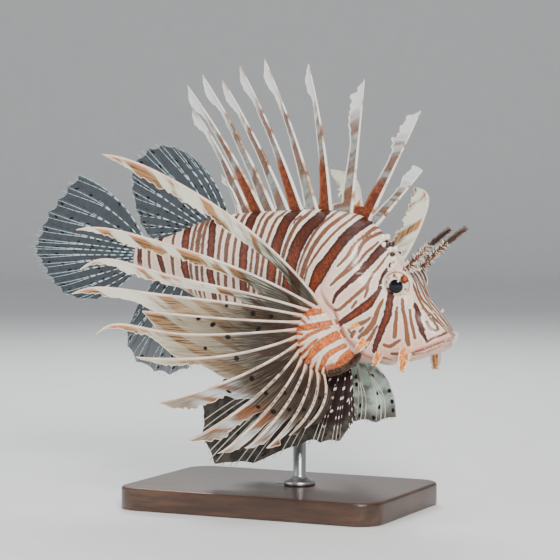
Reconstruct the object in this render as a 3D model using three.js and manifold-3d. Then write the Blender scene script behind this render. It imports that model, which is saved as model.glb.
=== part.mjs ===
// Red lionfish, life size, as a still museum model on a plain display stand.
// Millimetres. In the fish's own frame x runs forwards from the snout tip, y to its left and z up.
// The whole fish is then tipped nose-down and set above the stand. The origin is the middle of the
// stand's underside.
import * as THREE from 'three';
import { mergeVertices } from 'three/addons/utils/BufferGeometryUtils.js';
import Module from 'manifold-3d';

const wasm = await Module();
wasm.setup();

// Driving dimensions
const NOSE_DOWN = THREE.MathUtils.degToRad(12.4);
const SNOUT_AT = new THREE.Vector3(116.5, 0, 110);
const GAP = 0.3;

// The body's shape at a row of places behind the snout:
// [behind the snout, top, bottom, half width, level of the widest point]
const BODY = [
  [3.2, 2.2, -5.4, 5.8, -1.6],
  [4.2, 4.4, -8.4, 9.4, -2.8],
  [6.2, 6.9, -11.0, 12.4, -4.1],
  [12, 11.4, -14.4, 14.6, -5],
  [20, 17.8, -18.6, 16.4, -5],
  [26, 25.4, -21.6, 17.6, -4],
  [33, 32.2, -24.4, 18.8, -3],
  [42, 37.2, -27.2, 20.6, -1],
  [52, 46.0, -29.6, 22.4, 1.5],
  [64, 54.4, -31.4, 24.0, 4],
  [76, 58.0, -32.6, 24.6, 6],
  [90, 57.4, -33.6, 23.8, 8],
  [106, 55.0, -33.6, 21.8, 9],
  [124, 50.2, -32.0, 19.0, 9],
  [142, 45.2, -28.6, 15.6, 8],
  [160, 39.4, -23.6, 12.0, 6.5],
  [176, 32.4, -18.4, 9.2, 5],
  [190, 23.8, -14.8, 7.4, 3.4],
  [206, 13.4, -12.0, 5.6, 1.2],
  [223, 9.4, -10.3, 4.0, -0.3],
];
const BODY_RINGS = [3.2, 4.2, 6.2, 9.5, 14, 19, 24, 28.5, 33, 37.5, 42, 47, 52, 58, 64, 71, 80, 92, 106,
  122, 138, 154, 168, 180, 192, 205, 223];
const RING_SIDES = 22;

// The power of the cross-section's curve, which is squarer at the cheeks: 2 is an ellipse
const SQUARE = { body: 2.05, cheeks: 0.65, back: 34, long: 20 };

// Brow ridges over the eyes, with a hollow between them
const BROW = { back: 37, side: 12, height: 3.0, long: 9, wide: 3.6, hollow: 1.8 };

// The nape behind the eyes is pinched in and a little lower
const NAPE = { back: 53, long: 11, pinch: 0.5, drop: 2.0, from: 0.2, full: 0.95 };

// The eye: a ball set deep in the side of the head
const EYE = { back: 38.2, side: 12.9, up: 24.6, radius: 8.1 };

// The gill cover's rear edge and the mouth cleft, seen from the side: [behind the snout, up]
const GILL_EDGE = [[60, 80], [66, 52], [76, 30], [84, 10], [80, 3], [72, -3], [62, -12], [52, -18],
  [40, -21.5], [33, -26], [30, -44]];
const MOUTH_CLEFT = [[-8, -0.8], [0, -1.6], [7, -6.2], [14, -10.8], [22, -15.4], [27, -23], [27, -44]];
const STEM_FROM = 206.5;

// Fleshy base of each pectoral fin: a rounded lobe that leaves the side behind the gill cover
const LOBE = { back: 71.5, up: -17, long: 21.5, high: 24, out: 25.6, flare: 0.17, rim: 5, crown: 2.2,
  depth: 10 };

const COLOR = { cream: 0xe9d5c6, band: 0x8a3f22, clear: 0x8f9490, dusky: 0x6b5a50, frond: 0xc98646,
  eye: 0x111417, base: 0x2b2622, rod: 0xb9bcbe };

const wrap = (value, low, high) => Math.min(Math.max(value, low), high);
const bell = (value, middle, spread) => Math.exp(-(((value - middle) / spread) ** 2));

// A smooth curve through the points [at, value] of a table's column
function curveThrough(rows, column) {
  const x = rows.map((row) => row[0]);
  const y = rows.map((row) => row[column]);
  const slope = x.map((_, i) => {
    const a = Math.max(i - 1, 0);
    const b = Math.min(i + 1, x.length - 1);
    return (y[b] - y[a]) / (x[b] - x[a]);
  });
  return (at) => {
    const v = wrap(at, x[0], x[x.length - 1]);
    let i = 0;
    while (i < x.length - 2 && v > x[i + 1]) i += 1;
    const span = x[i + 1] - x[i];
    const t = (v - x[i]) / span;
    return y[i] * (1 + 2 * t) * (1 - t) ** 2 + slope[i] * span * t * (1 - t) ** 2
      + y[i + 1] * t * t * (3 - 2 * t) + slope[i + 1] * span * t * t * (t - 1);
  };
}

const bodyTop = curveThrough(BODY, 1);
const bodyBottom = curveThrough(BODY, 2);
const bodyHalf = curveThrough(BODY, 3);
const bodyWidest = curveThrough(BODY, 4);

// A point of the body's skin: how far behind the snout, and how far round from the ridge of the back
function bodyPoint(back, round, grow = 0) {
  const level = bodyWidest(back);
  const across = Math.sin(round);
  const along = Math.cos(round);
  const square = 2 / (SQUARE.body + SQUARE.cheeks * bell(back, SQUARE.back, SQUARE.long));
  const nape = bell(back, NAPE.back, NAPE.long) * THREE.MathUtils.smoothstep(along, NAPE.from, NAPE.full);
  const side = (bodyHalf(back) + grow) * Math.sign(across) * Math.abs(across) ** square
    * (1 - NAPE.pinch * nape);
  const reach = along > 0 ? bodyTop(back) - level : level - bodyBottom(back);
  let up = level + (reach + grow) * Math.sign(along) * Math.abs(along) ** square;
  if (along > 0) {
    up += BROW.height * bell(back, BROW.back, BROW.long) * bell(Math.abs(side), BROW.side, BROW.wide);
    up -= BROW.hollow * bell(back, BROW.back, BROW.long) * bell(side, 0, BROW.wide);
  }
  return new THREE.Vector3(-back, side, up - NAPE.drop * nape);
}

// Solids from vertices and triangles, and back
function solidOf(geometry) {
  const bare = geometry.clone();
  bare.deleteAttribute('normal');
  bare.deleteAttribute('uv');
  const merged = mergeVertices(bare, 1e-4);
  return new wasm.Manifold(new wasm.Mesh({
    numProp: 3,
    vertProperties: new Float32Array(merged.attributes.position.array),
    triVerts: new Uint32Array(merged.index.array),
  }));
}

function geometryOf(solid) {
  const mesh = solid.getMesh();
  const geometry = new THREE.BufferGeometry();
  geometry.setAttribute('position', new THREE.BufferAttribute(new Float32Array(mesh.vertProperties), 3));
  geometry.setIndex(new THREE.BufferAttribute(new Uint32Array(mesh.triVerts), 1));
  return geometry;
}

function meshSolid(points, triangles) {
  let volume = 0;
  for (let i = 0; i < triangles.length; i += 3) {
    const [a, b, c] = [0, 1, 2].map((k) => points[triangles[i + k]]);
    volume += a.dot(b.clone().cross(c));
  }
  if (volume < 0) triangles.reverse();
  const numbers = points.flatMap((p) => [p.x, p.y, p.z]);
  const geometry = new THREE.BufferGeometry();
  geometry.setAttribute('position', new THREE.Float32BufferAttribute(numbers, 3));
  geometry.setIndex(triangles);
  return solidOf(geometry);
}

// A closed solid through a row of rings with the same number of points, with its ends capped
function loftSolid(rings) {
  const sides = rings[0].length;
  const points = rings.flat();
  const triangles = [];
  for (let i = 0; i < rings.length - 1; i += 1) {
    for (let j = 0; j < sides; j += 1) {
      const a = i * sides + j;
      const b = i * sides + ((j + 1) % sides);
      triangles.push(a, b, b + sides, a, b + sides, a + sides);
    }
  }
  for (const end of [0, rings.length - 1]) {
    const middle = new THREE.Vector3();
    for (const p of rings[end]) middle.addScaledVector(p, 1 / sides);
    points.push(middle);
    for (let j = 0; j < sides; j += 1) {
      const a = end * sides + j;
      const b = end * sides + ((j + 1) % sides);
      if (end === 0) triangles.push(b, a, points.length - 1);
      else triangles.push(a, b, points.length - 1);
    }
  }
  return meshSolid(points, triangles);
}

function bodySolid(grow) {
  const rings = BODY_RINGS.map((back, i) => {
    const last = i === BODY_RINGS.length - 1;
    const shift = i === 0 ? -grow : (last ? grow : 0);
    return Array.from({ length: RING_SIDES }, (_, j) => {
      const p = bodyPoint(back, (j / RING_SIDES) * 2 * Math.PI, grow);
      p.x -= shift;
      return p;
    });
  });
  return loftSolid(rings);
}

// A thick plate across the fish whose outline is given from the side as [behind the snout, up]
const PLATE_HALF_WIDTH = 70;
function sidePlate(outline) {
  const shape = new THREE.Shape(outline.map(([back, up]) => new THREE.Vector2(-back, up)));
  const geometry = new THREE.ExtrudeGeometry(shape, { depth: 2 * PLATE_HALF_WIDTH, bevelEnabled: false });
  geometry.rotateX(Math.PI / 2);
  geometry.translate(0, PLATE_HALF_WIDTH, 0);
  return solidOf(geometry);
}

// A fin: rays side by side, joined by web near the body and free towards their tips.
// A ray is a row of stations { at, across, front, rear, thick }, where thick is half the thickness of a
// raised shaft and may be left out. Ray i and ray i + 1 are webbed as far as station webs[i][0] of the one
// and webs[i][1] of the other.
const FIN_EDGE = 0.32;
function finSolid(rays, webs) {
  const top = [];
  const bottom = [];
  const first = [];
  for (const ray of rays) {
    first.push(top.length);
    ray.forEach((station, k) => {
      const before = ray[Math.max(k - 1, 0)].at;
      const after = ray[Math.min(k + 1, ray.length - 1)].at;
      const along = after.clone().sub(before).normalize();
      const face = station.across.clone().cross(along).normalize();
      const shaft = station.thick ? [[0, station.thick]] : [];
      for (const [shift, half] of [[-station.front, FIN_EDGE], ...shaft, [station.rear, FIN_EDGE]]) {
        const p = station.at.clone().addScaledVector(station.across, shift);
        top.push(p.clone().addScaledVector(face, half));
        bottom.push(p.addScaledVector(face, -half));
      }
    });
  }
  const faces = [];
  const quad = (a, b, c, d) => faces.push([a, b, c], [a, c, d]);
  const columns = rays[0][0].thick ? 3 : 2;
  rays.forEach((ray, i) => {
    for (let k = 0; k < ray.length - 1; k += 1) {
      const a = first[i] + columns * k;
      for (let c = 0; c < columns - 1; c += 1) quad(a + c, a + c + 1, a + c + 1 + columns, a + c + columns);
    }
    if (i === rays.length - 1) return;
    const here = (k) => first[i] + columns * (k + 1) - 1;
    const next = (k) => first[i + 1] + columns * k;
    const [mine, theirs] = webs[i];
    const both = Math.min(mine, theirs);
    for (let k = 0; k < both; k += 1) quad(here(k), next(k), next(k + 1), here(k + 1));
    for (let k = both; k < mine; k += 1) faces.push([here(k), next(both), here(k + 1)]);
    for (let k = both; k < theirs; k += 1) faces.push([here(both), next(k), next(k + 1)]);
  });
  const count = top.length;
  const used = new Set(faces.flatMap(([a, b, c]) => [`${a},${b}`, `${b},${c}`, `${c},${a}`]));
  const triangles = [];
  for (const [a, b, c] of faces) {
    triangles.push(a, b, c, c + count, b + count, a + count);
    for (const [u, v] of [[a, b], [b, c], [c, a]]) {
      if (!used.has(`${v},${u}`)) triangles.push(v, u, u + count, v, u + count, v + count);
    }
  }
  return meshSolid([...top, ...bottom], triangles);
}

// Fins of the fish's middle plane

// The free dorsal spines: [root behind the snout, length, lean], lean 90 straight up, less leans forwards
const SPINES = [[64, 44.5, 60], [69.5, 73.5, 76.2], [82.5, 82, 95.8], [96.5, 91.5, 112.8],
  [106, 99, 122.8], [116, 101, 128.6], [125, 93, 131], [134.5, 99.5, 133.4], [142, 94.5, 135.5],
  [150.5, 79, 134.4], [156.6, 27, 132]];
const SPINE_ROOT = { lift: 0.8, depth: 4 };
const SPINE_WEB = 4.2;
// The round shaft in a spine's front edge, at the root and at the tip
const SHAFT = { front: [0.9, 0.4], thick: [1.25, 0.5] };
const SPINE_BOW = 2;
const SHORT_SPINE = { under: 40, narrow: 0.5 };
// How wide the web behind a spine is, along the spine: [fraction of the length, width]
const LANCE_WEB = [[0, 8.2], [0.2, 6.2], [0.45, 4.2], [0.7, 2.8], [0.8, 3.2], [0.88, 3.6], [0.95, 2],
  [1, 0.4]];
const FLAG_WEB = [[0, 7.4], [0.2, 7.2], [0.4, 6.2], [0.58, 6], [0.7, 8.6], [0.8, 6.8], [0.88, 7.2],
  [0.95, 4.5], [1, 0.5]];
const STUMP_WEB = [[0, 6.2], [0.3, 5.6], [0.6, 5], [0.8, 7], [1, 6.6]];
const SPINE_STATIONS = [0.3, 0.62, 0.73, 0.87, 1];
const SPINE_LEAN_OUT = 0.03;

function spinyDorsal() {
  const between = ([root, tip], u) => root + (tip - root) * u;
  const rays = SPINES.map(([back, length, lean], i) => {
    const angle = THREE.MathUtils.degToRad(lean);
    const along = new THREE.Vector3(Math.cos(angle), 0, Math.sin(angle));
    const across = new THREE.Vector3(-Math.sin(angle), 0, Math.cos(angle));
    const root = new THREE.Vector3(-back, 0, bodyTop(back) + SPINE_ROOT.lift);
    const width = curveThrough(i === 0 ? STUMP_WEB : (i < 3 ? FLAG_WEB : LANCE_WEB), 1);
    const sideways = (i % 2 ? 1 : -1) * SPINE_LEAN_OUT;
    const bow = i > 2 ? SPINE_BOW : 0;
    const narrow = length < SHORT_SPINE.under ? SHORT_SPINE.narrow : 1;
    const reach = [-SPINE_ROOT.depth, SPINE_WEB, ...SPINE_STATIONS.map((u) => u * length)];
    return reach.filter((r, k) => k < 2 || r > SPINE_WEB + 2).map((r) => {
      const u = Math.max(r / length, 0);
      const at = root.clone().addScaledVector(along, r).addScaledVector(across, -bow * 4 * u * (1 - u));
      at.y = sideways * Math.max(r - SPINE_WEB, 0);
      const [front, thick] = [between(SHAFT.front, u), between(SHAFT.thick, u)];
      return { at, across, front, rear: narrow * width(u), thick };
    });
  });
  return finSolid(rays, SPINES.slice(1).map(() => [1, 1]));
}

// A soft fin of the middle plane: rays [root behind, root up, length, angle below straight back], webbed
// almost to their tips
function softFin(rays, { stations, width = 0.4, webEnd, side = () => 0 }) {
  const way = rays[0][3] > rays[rays.length - 1][3] ? 1 : -1;
  const rows = rays.map(([back, up, length, angle, bow = 0]) => {
    const turn = THREE.MathUtils.degToRad(angle);
    const along = new THREE.Vector3(-Math.cos(turn), 0, Math.sin(turn));
    const across = new THREE.Vector3(-Math.sin(turn), 0, -Math.cos(turn)).multiplyScalar(way);
    return stations.map((u) => {
      const at = new THREE.Vector3(-back, 0, up).addScaledVector(along, u * length);
      at.addScaledVector(across, -bow * 4 * u * (1 - u));
      at.y = side(u * length);
      const half = u === 1 ? width : width * (1 + u);
      return { at, across, front: half, rear: half };
    });
  });
  return finSolid(rows, rows.slice(1).map(() => [webEnd, webEnd]));
}

// Rays with their roots spread along a line, and lengths and angles listed from the first ray to the last
function fan(from, to, lengths, angles, bows = []) {
  return lengths.map((length, i) => {
    const t = i / (lengths.length - 1);
    const root = from.map((start, axis) => start + (to[axis] - start) * t);
    return [...root, length, angles[i], bows[i] || 0];
  });
}

const SOFT_DORSAL = fan([163.5, 35.5], [193, 19.5], [42, 53, 62, 67, 65, 56, 43, 32, 19],
  [47, 45, 40.5, 32.5, 22, 14, 1, -13, -32], [3, 2.5, 2]);
const ANAL = fan([166, -17], [205, -10], [40, 43, 50, 58, 60, 60, 54, 44, 26],
  [-113, -100, -94.5, -87, -81, -72, -66, -64, -66]);
const CAUDAL = fan([219, 8], [219, -9], [65, 69, 76, 80, 81.5, 75, 68, 59, 39],
  [28.5, 14.5, 3, -7, -11.5, -17.5, -25.5, -34, -46], [7, 3, 0, 0, 0, 0, -1, -2, -2]);

// Paired fins, made for the right side. The left ones are held a little further forward.

const RIGHT_PELVIC = fan([61.5, -27], [75, -29.5], [38, 52, 55, 62, 86, 103, 100, 88, 66],
  [-112, -101, -90, -78, -65, -55, -45.5, -34, -25], [0, 0, 0, 0, -2, -4, -4, -4, -2]);
const LEFT_PELVIC = fan([60, -27], [75, -29.5], [44, 44, 43, 51, 72, 94, 96, 84, 64],
  [-130, -114, -99, -84, -69, -56, -46, -35, -26], [7, 5, 2, 0, -2, -4, -4, -4, -2]);
const PELVIC_ROOT_SIDE = -7;
const PELVIC_SPREAD = -0.17;

// The lobe's outer face, its rim and the mid-depth of that rim, [behind the snout, side, up]
function lobePoint(turn, reach, face) {
  const back = LOBE.back + LOBE.long * reach * Math.cos(turn);
  const up = LOBE.up + LOBE.high * reach * Math.sin(turn);
  const out = LOBE.out + LOBE.flare * (back - LOBE.back) + LOBE.crown * (1 - reach ** 2);
  const thick = LOBE.rim + LOBE.depth * (1 - reach ** 2);
  return new THREE.Vector3(-back, -(out - face * thick), up);
}

function lobeSolid(grow = 0) {
  const sides = 16;
  const rings = [[0.6, 1], [1, 1], [1, 0], [0.7, 0]].map(([reach, face]) => (
    Array.from({ length: sides }, (_, j) => {
      const p = lobePoint((j / sides) * 2 * Math.PI, reach, face);
      p.y += (face ? 1 : -1) * grow;
      const away = new THREE.Vector3(p.x + LOBE.back, 0, p.z - LOBE.up).normalize();
      return p.addScaledVector(away, reach > 0.9 ? grow : 0);
    })));
  return loftSolid(rings);
}

// The fourteen pectoral rays. Length, turn out from straight back and rise are those of the ray's chord;
// bow lifts its middle and hook its last part, sweep and curl do the same forwards, and blade is the
// greatest width of the membrane behind its shaft.
const RAY_COUNT = 14;
const RAY_FAN = { from: 62, to: -95, inset: 0.93 };
const RAY_STEP = 19;
// Along a ray the blade behind its shaft widens from the root and narrows to the tip. It takes no more
// than the share "clear" of the way to the next ray.
const BLADE = { root: 0.45, widen: 1.3, taper: 0.2, edge: 0.4, front: 0.8, clear: 0.42 };
const RAY_WEB = [[1, 1], [2, 2], [2, 2], [6, 5], [5, 5], [4, 5], [3, 3], [3, 4], [3, 3], [3, 3], [2, 2],
  [2, 2], [1, 1]];
const even = (value) => Array(RAY_COUNT).fill(value);
const RIGHT_RAYS = {
  length: [160.5, 151.5, 141.5, 142, 100, 124.5, 103, 97.5, 93.5, 85.5, 72.5, 64.5, 50, 40],
  turn: [33, 32.7, 35.8, 36.5, 44.5, 40.7, 47.7, 55.3, 66.5, 76.6, 84.5, 92, 98, 102],
  rise: [24, 7.7, 0.5, -4, -3.7, -10, -13.6, -26, -37, -42, -42, -43.5, -44, -49],
  bow: [13, 9, 5.5, 5, 0, -0.5, -4.5, -2.3, -2.3, -1, 0, 0, 0.3, 0.8],
  hook: [2, 3, 7.5, 4, 0, 7, 0, 0, -1, -1, -1, 0, 0, 0],
  sweep: even(6),
  curl: even(0),
  blade: [8, 6.4, 5.6, 6.2, 3, 4.2, 4, 7.6, 6.4, 6, 5.6, 5, 4.2, 3.6],
};
const LEFT_RAYS = {
  length: [127, 127, 122, 125, 96, 112, 96, 86, 80, 72, 62, 54, 46, 38],
  turn: [83.2, 52.5, 55, 57, 60, 62, 66, 70, 74, 78, 82, 86, 90, 94],
  rise: [32, 33.5, 18, 8, 0, -7, -13, -19, -25, -30, -34, -37, -40, -42],
  bow: [-9, 8, 6, 4, 0, 0, -3, -2, -2, -1, 0, 0, 0, 0],
  hook: [6, 4, 5, 3, 0, 5, 0, 0, -1, -1, -1, 0, 0, 0],
  sweep: [13.5, 15, 12, 10, 8, 8, 6, 6, 6, 5, 5, 4, 4, 3],
  curl: [7, 8, 3, 2, 0, 3, 0, 0, 0, 0, 0, 0, 0, 0],
  blade: [12, 12.5, 7, 6.2, 3, 4.2, 4, 7.6, 6.4, 6, 5.6, 5, 4.2, 3.6],
};

function pectoralRays(set) {
  const radians = THREE.MathUtils.degToRad;
  const at = (i, r) => {
    const t = i / (RAY_COUNT - 1);
    const root = lobePoint(radians(RAY_FAN.from + (RAY_FAN.to - RAY_FAN.from) * t), RAY_FAN.inset, 0.5);
    const turn = radians(set.turn[i]);
    const rise = radians(set.rise[i]);
    const level = Math.cos(rise);
    const along = new THREE.Vector3(-Math.cos(turn) * level, -Math.sin(turn) * level, Math.sin(rise));
    const lift = new THREE.Vector3(0, 0, 1).addScaledVector(along, -along.z).normalize();
    const forward = new THREE.Vector3(Math.sin(turn), -Math.cos(turn), 0);
    const u = r / set.length[i];
    const middle = 4 * u * (1 - u);
    const last = 4 * u ** 6 * (1 - u ** 6);
    return root.addScaledVector(along, r)
      .addScaledVector(lift, set.bow[i] * middle + set.hook[i] * last)
      .addScaledVector(forward, set.sweep[i] * middle + set.curl[i] * last);
  };
  return Array.from({ length: RAY_COUNT }, (_, i) => {
    const length = set.length[i];
    const steps = Math.round(length / RAY_STEP);
    const reach = Array.from({ length: steps + 1 }, (_, k) => (k === steps ? length : k * RAY_STEP));
    return reach.map((r) => {
      const p = at(i, r);
      const up = at(Math.max(i - 1, 0), r);
      const down = at(Math.min(i + 1, RAY_COUNT - 1), r);
      const along = at(i, r + 1).sub(at(i, r - 1)).normalize();
      const across = down.clone().sub(up);
      across.addScaledVector(along, -across.dot(along)).normalize();
      const nearest = Math.min(...[up, down].map((other) => p.distanceTo(other) || Infinity));
      const u = r / length;
      const taper = Math.min((1 - u) / BLADE.taper, 1);
      const wide = set.blade[i] * Math.min(BLADE.root + BLADE.widen * u, 1) * taper ** 0.7;
      return {
        at: p,
        across,
        front: Math.min(BLADE.front * taper + BLADE.edge, BLADE.clear * nearest),
        rear: Math.min(Math.max(wide, BLADE.edge), BLADE.clear * nearest),
        thick: 1 - 0.6 * u,
      };
    });
  });
}

// A single leaf or feather of skin
function leafSolid(from, to, across, widths, thick, bend = 0) {
  const along = to.clone().sub(from);
  const side = across.clone().normalize();
  const bow = along.clone().cross(side).normalize().multiplyScalar(bend);
  const ray = widths.map((half, k) => {
    const u = k / (widths.length - 1);
    const at = from.clone().addScaledVector(along, u).addScaledVector(bow, 4 * u * (1 - u));
    return { at, across: side, front: half, rear: half, thick: thick * (1 - 0.6 * u) };
  });
  return finSolid([ray], []);
}

// Display stand
const STAND = { length: 176, width: 116, thick: 14, corner: 16, bevel: 1.5 };
const ROD = { x: 13.5, radius: 4, sides: 20 };
const COLLAR = { radius: 10, rim: 2.5, high: 5, chamfer: 1.5 };

function standBase() {
  const { length, width, thick, corner, bevel } = STAND;
  const x = length / 2 - bevel;
  const y = width / 2 - bevel;
  const r = corner - bevel;
  const shape = new THREE.Shape();
  shape.moveTo(-x + r, -y);
  shape.lineTo(x - r, -y);
  shape.absarc(x - r, -y + r, r, -Math.PI / 2, 0);
  shape.absarc(x - r, y - r, r, 0, Math.PI / 2);
  shape.absarc(-x + r, y - r, r, Math.PI / 2, Math.PI);
  shape.absarc(-x + r, -y + r, r, Math.PI, 1.5 * Math.PI);
  const geometry = new THREE.ExtrudeGeometry(shape, {
    depth: thick - 2 * bevel, bevelThickness: bevel, bevelSize: bevel, bevelSegments: 1, curveSegments: 5,
  });
  geometry.translate(0, 0, bevel);
  return geometry;
}

function standRod(fish) {
  const foot = STAND.thick + GAP;
  const { radius, rim, high, chamfer } = COLLAR;
  const profile = [[0, foot], [radius, foot], [radius, foot + rim], [ROD.radius + chamfer, foot + high],
    [ROD.radius, foot + high + chamfer], [ROD.radius, SNOUT_AT.z], [0, SNOUT_AT.z]];
  const rod = new THREE.LatheGeometry(profile.map(([r, z]) => new THREE.Vector2(r, z)), ROD.sides);
  rod.rotateX(Math.PI / 2);
  rod.translate(ROD.x, 0, 0);
  return geometryOf(solidOf(rod).subtract(fish));
}

// The other side's copy of a shape
function mirrored(geometry) {
  const out = geometry.clone().scale(1, -1, 1);
  const index = out.index.array;
  for (let i = 0; i < index.length; i += 3) [index[i], index[i + 1]] = [index[i + 1], index[i]];
  return out;
}

const fish = new THREE.Group();
fish.position.copy(SNOUT_AT);
fish.rotation.y = NOSE_DOWN;
fish.updateMatrix();

const model = new THREE.Group();
model.add(fish);

function add(group, name, geometry, color, roughness = 0.45, metalness = 0) {
  const mesh = new THREE.Mesh(geometry, new THREE.MeshStandardMaterial({ color, roughness, metalness }));
  mesh.name = name;
  group.add(mesh);
}

// Body, parted at the gill covers, the mouth and the tail stem
const body = bodySolid(0);
const aroundBody = bodySolid(GAP);
const headSide = sidePlate([[-20, 80], ...GILL_EDGE, [-20, -44]]);
const jawSide = sidePlate([...MOUTH_CLEFT, [-8, -44]]);
const stemSide = sidePlate([[STEM_FROM, 60], [STEM_FROM, -60], [260, -60], [260, 60]]);
// Behind the slanted gill edge and below the slanted mouth, the same plates moved away by the gap
const gillGap = headSide.translate([-GAP, 0, -0.7 * GAP]);
const mouthGap = jawSide.translate([0.7 * GAP, 0, -GAP]);

function eyeSphere(radius) {
  const sphere = new THREE.SphereGeometry(radius, 12, 8);
  return sphere.translate(-EYE.back, -EYE.side, EYE.up);
}
const eye = geometryOf(solidOf(eyeSphere(EYE.radius)));
const socket = geometryOf(solidOf(eyeSphere(EYE.radius + GAP)));

// Small leaves on the cheek and the nostril, part of the head
const BACKWARDS = new THREE.Vector3(-1, 0, 0);
const CHEEK_LEAVES = [
  { from: [39, -14, -16], to: [39.5, -20.5, -27], widths: [1.2, 2.2, 1.6, 0.4] },
  { from: [47.5, -17, -11], to: [50, -26, -20], widths: [1.4, 2.6, 2.4, 0.8] },
  { from: [54, -20, -2], to: [58, -26.2, -8.5], widths: [1, 1.6, 0.5] },
  { from: [15.5, -6.5, 11], to: [12.5, -8.5, 19], widths: [0.7, 0.6, 0.4] },
];
const leafPoint = ([back, side, up]) => new THREE.Vector3(-back, side, up);

let head = body.intersect(headSide).subtract(jawSide);
head = head.subtract(solidOf(socket)).subtract(solidOf(mirrored(socket)));
for (const leaf of CHEEK_LEAVES) {
  const right = leafSolid(leafPoint(leaf.from), leafPoint(leaf.to), BACKWARDS, leaf.widths, 0.8);
  head = head.add(right).add(solidOf(mirrored(geometryOf(right))));
}
const jaw = body.intersect(mouthGap).intersect(headSide);
const trunk = body.subtract(gillGap).subtract(stemSide);
const stem = body.intersect(stemSide.translate([-GAP, 0, 0]));

add(fish, 'head', geometryOf(head), COLOR.cream);
add(fish, 'lower_jaw', geometryOf(jaw), COLOR.cream);
add(fish, 'trunk', geometryOf(trunk), COLOR.band);
add(fish, 'tail_stem', geometryOf(stem), COLOR.cream);
add(fish, 'eye_right', eye, COLOR.eye, 0.08);
add(fish, 'eye_left', mirrored(eye), COLOR.eye, 0.08);

// Feathery tentacles over the eyes and fringed leaves at the corners of the mouth
const TENTACLE = { from: [36.5, -12.6, 32], to: [11.8, -14, 64.6], thick: 1.2, bend: 1.5,
  widths: [1.7, 1.5, 1.6, 2.6, 3.2, 2.4, 0.4], across: new THREE.Vector3(-0.78, 0, -0.62) };
const FROND = { high: -8, low: -26.5, side: [-16, -20], forwards: 2.5, thick: 1.1, bend: -2,
  widths: [2, 3, 3.4, 3.6, 2.6, 0.8] };

const tentacle = geometryOf(leafSolid(leafPoint(TENTACLE.from), leafPoint(TENTACLE.to), TENTACLE.across,
  TENTACLE.widths, TENTACLE.thick, TENTACLE.bend).subtract(aroundBody).subtract(solidOf(socket)));
add(fish, 'brow_tentacle_right', tentacle, COLOR.dusky);
add(fish, 'brow_tentacle_left', mirrored(tentacle), COLOR.dusky);

function mouthFrond(back) {
  const from = leafPoint([back, FROND.side[0], FROND.high]);
  const to = leafPoint([back - FROND.forwards, FROND.side[1], FROND.low]);
  return geometryOf(leafSolid(from, to, BACKWARDS, FROND.widths, FROND.thick, FROND.bend)
    .subtract(aroundBody));
}
add(fish, 'mouth_frond_right', mouthFrond(24), COLOR.frond);
add(fish, 'mouth_frond_left', mirrored(mouthFrond(17)), COLOR.frond);

// Median fins
const soft = { stations: [0, 0.34, 0.68, 0.965, 1], webEnd: 3 };
add(fish, 'spiny_dorsal_fin', geometryOf(spinyDorsal().subtract(aroundBody)), COLOR.cream);
add(fish, 'soft_dorsal_fin', geometryOf(softFin(SOFT_DORSAL, soft).subtract(aroundBody)), COLOR.clear);
add(fish, 'anal_fin', geometryOf(softFin(ANAL, soft).subtract(aroundBody)), COLOR.clear);
add(fish, 'caudal_fin', geometryOf(softFin(CAUDAL, soft).subtract(aroundBody)), COLOR.clear);

// Paired fins
const rightLobe = geometryOf(lobeSolid().subtract(aroundBody).subtract(gillGap));
const aroundLobe = lobeSolid(GAP);
add(fish, 'pectoral_base_right', rightLobe, COLOR.cream);
add(fish, 'pectoral_base_left', mirrored(rightLobe), COLOR.cream);
for (const [side, set] of [['right', RIGHT_RAYS], ['left', LEFT_RAYS]]) {
  const fin = geometryOf(finSolid(pectoralRays(set), RAY_WEB).subtract(aroundLobe).subtract(aroundBody));
  add(fish, `pectoral_fin_${side}`, side === 'right' ? fin : mirrored(fin), COLOR.cream);
}
const pelvicSide = (r) => PELVIC_ROOT_SIDE + PELVIC_SPREAD * r;
for (const [side, rays] of [['right', RIGHT_PELVIC], ['left', LEFT_PELVIC]]) {
  const fin = geometryOf(softFin(rays, { ...soft, side: pelvicSide }).subtract(aroundBody));
  add(fish, `pelvic_fin_${side}`, side === 'right' ? fin : mirrored(fin), COLOR.dusky);
}

// Stand
const placed = aroundBody.transform(fish.matrix.toArray());
add(model, 'stand_base', standBase(), COLOR.base, 0.5);
add(model, 'stand_rod', standRod(placed), COLOR.rod, 0.3, 1);

export default model;
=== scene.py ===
"""Red lionfish, life size, as a still museum model on a plain display stand.

Shapes are worked out in millimetres in the fish's own frame, [behind the snout, side, up] with the
fish's left side positive, and to_world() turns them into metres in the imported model's frame.
"""
from math import cos, pi, radians, sin

import bpy
import numpy as np
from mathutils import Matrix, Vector


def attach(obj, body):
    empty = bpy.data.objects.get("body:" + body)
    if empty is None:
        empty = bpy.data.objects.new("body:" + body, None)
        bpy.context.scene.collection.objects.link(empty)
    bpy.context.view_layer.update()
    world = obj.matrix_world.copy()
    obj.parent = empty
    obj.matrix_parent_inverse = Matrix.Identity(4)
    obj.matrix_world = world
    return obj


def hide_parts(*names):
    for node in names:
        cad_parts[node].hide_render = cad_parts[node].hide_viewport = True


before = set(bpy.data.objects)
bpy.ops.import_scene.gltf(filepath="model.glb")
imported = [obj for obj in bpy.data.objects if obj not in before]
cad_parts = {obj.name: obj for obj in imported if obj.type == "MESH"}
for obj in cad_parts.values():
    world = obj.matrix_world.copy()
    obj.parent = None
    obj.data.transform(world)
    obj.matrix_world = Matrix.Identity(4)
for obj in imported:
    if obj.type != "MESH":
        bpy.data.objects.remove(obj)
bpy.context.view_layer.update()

MM = 0.001

# Placing, as in the solid model
NOSE_DOWN = radians(12.4)
SNOUT_AT = (116.5, 0.0, 110.0)

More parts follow.
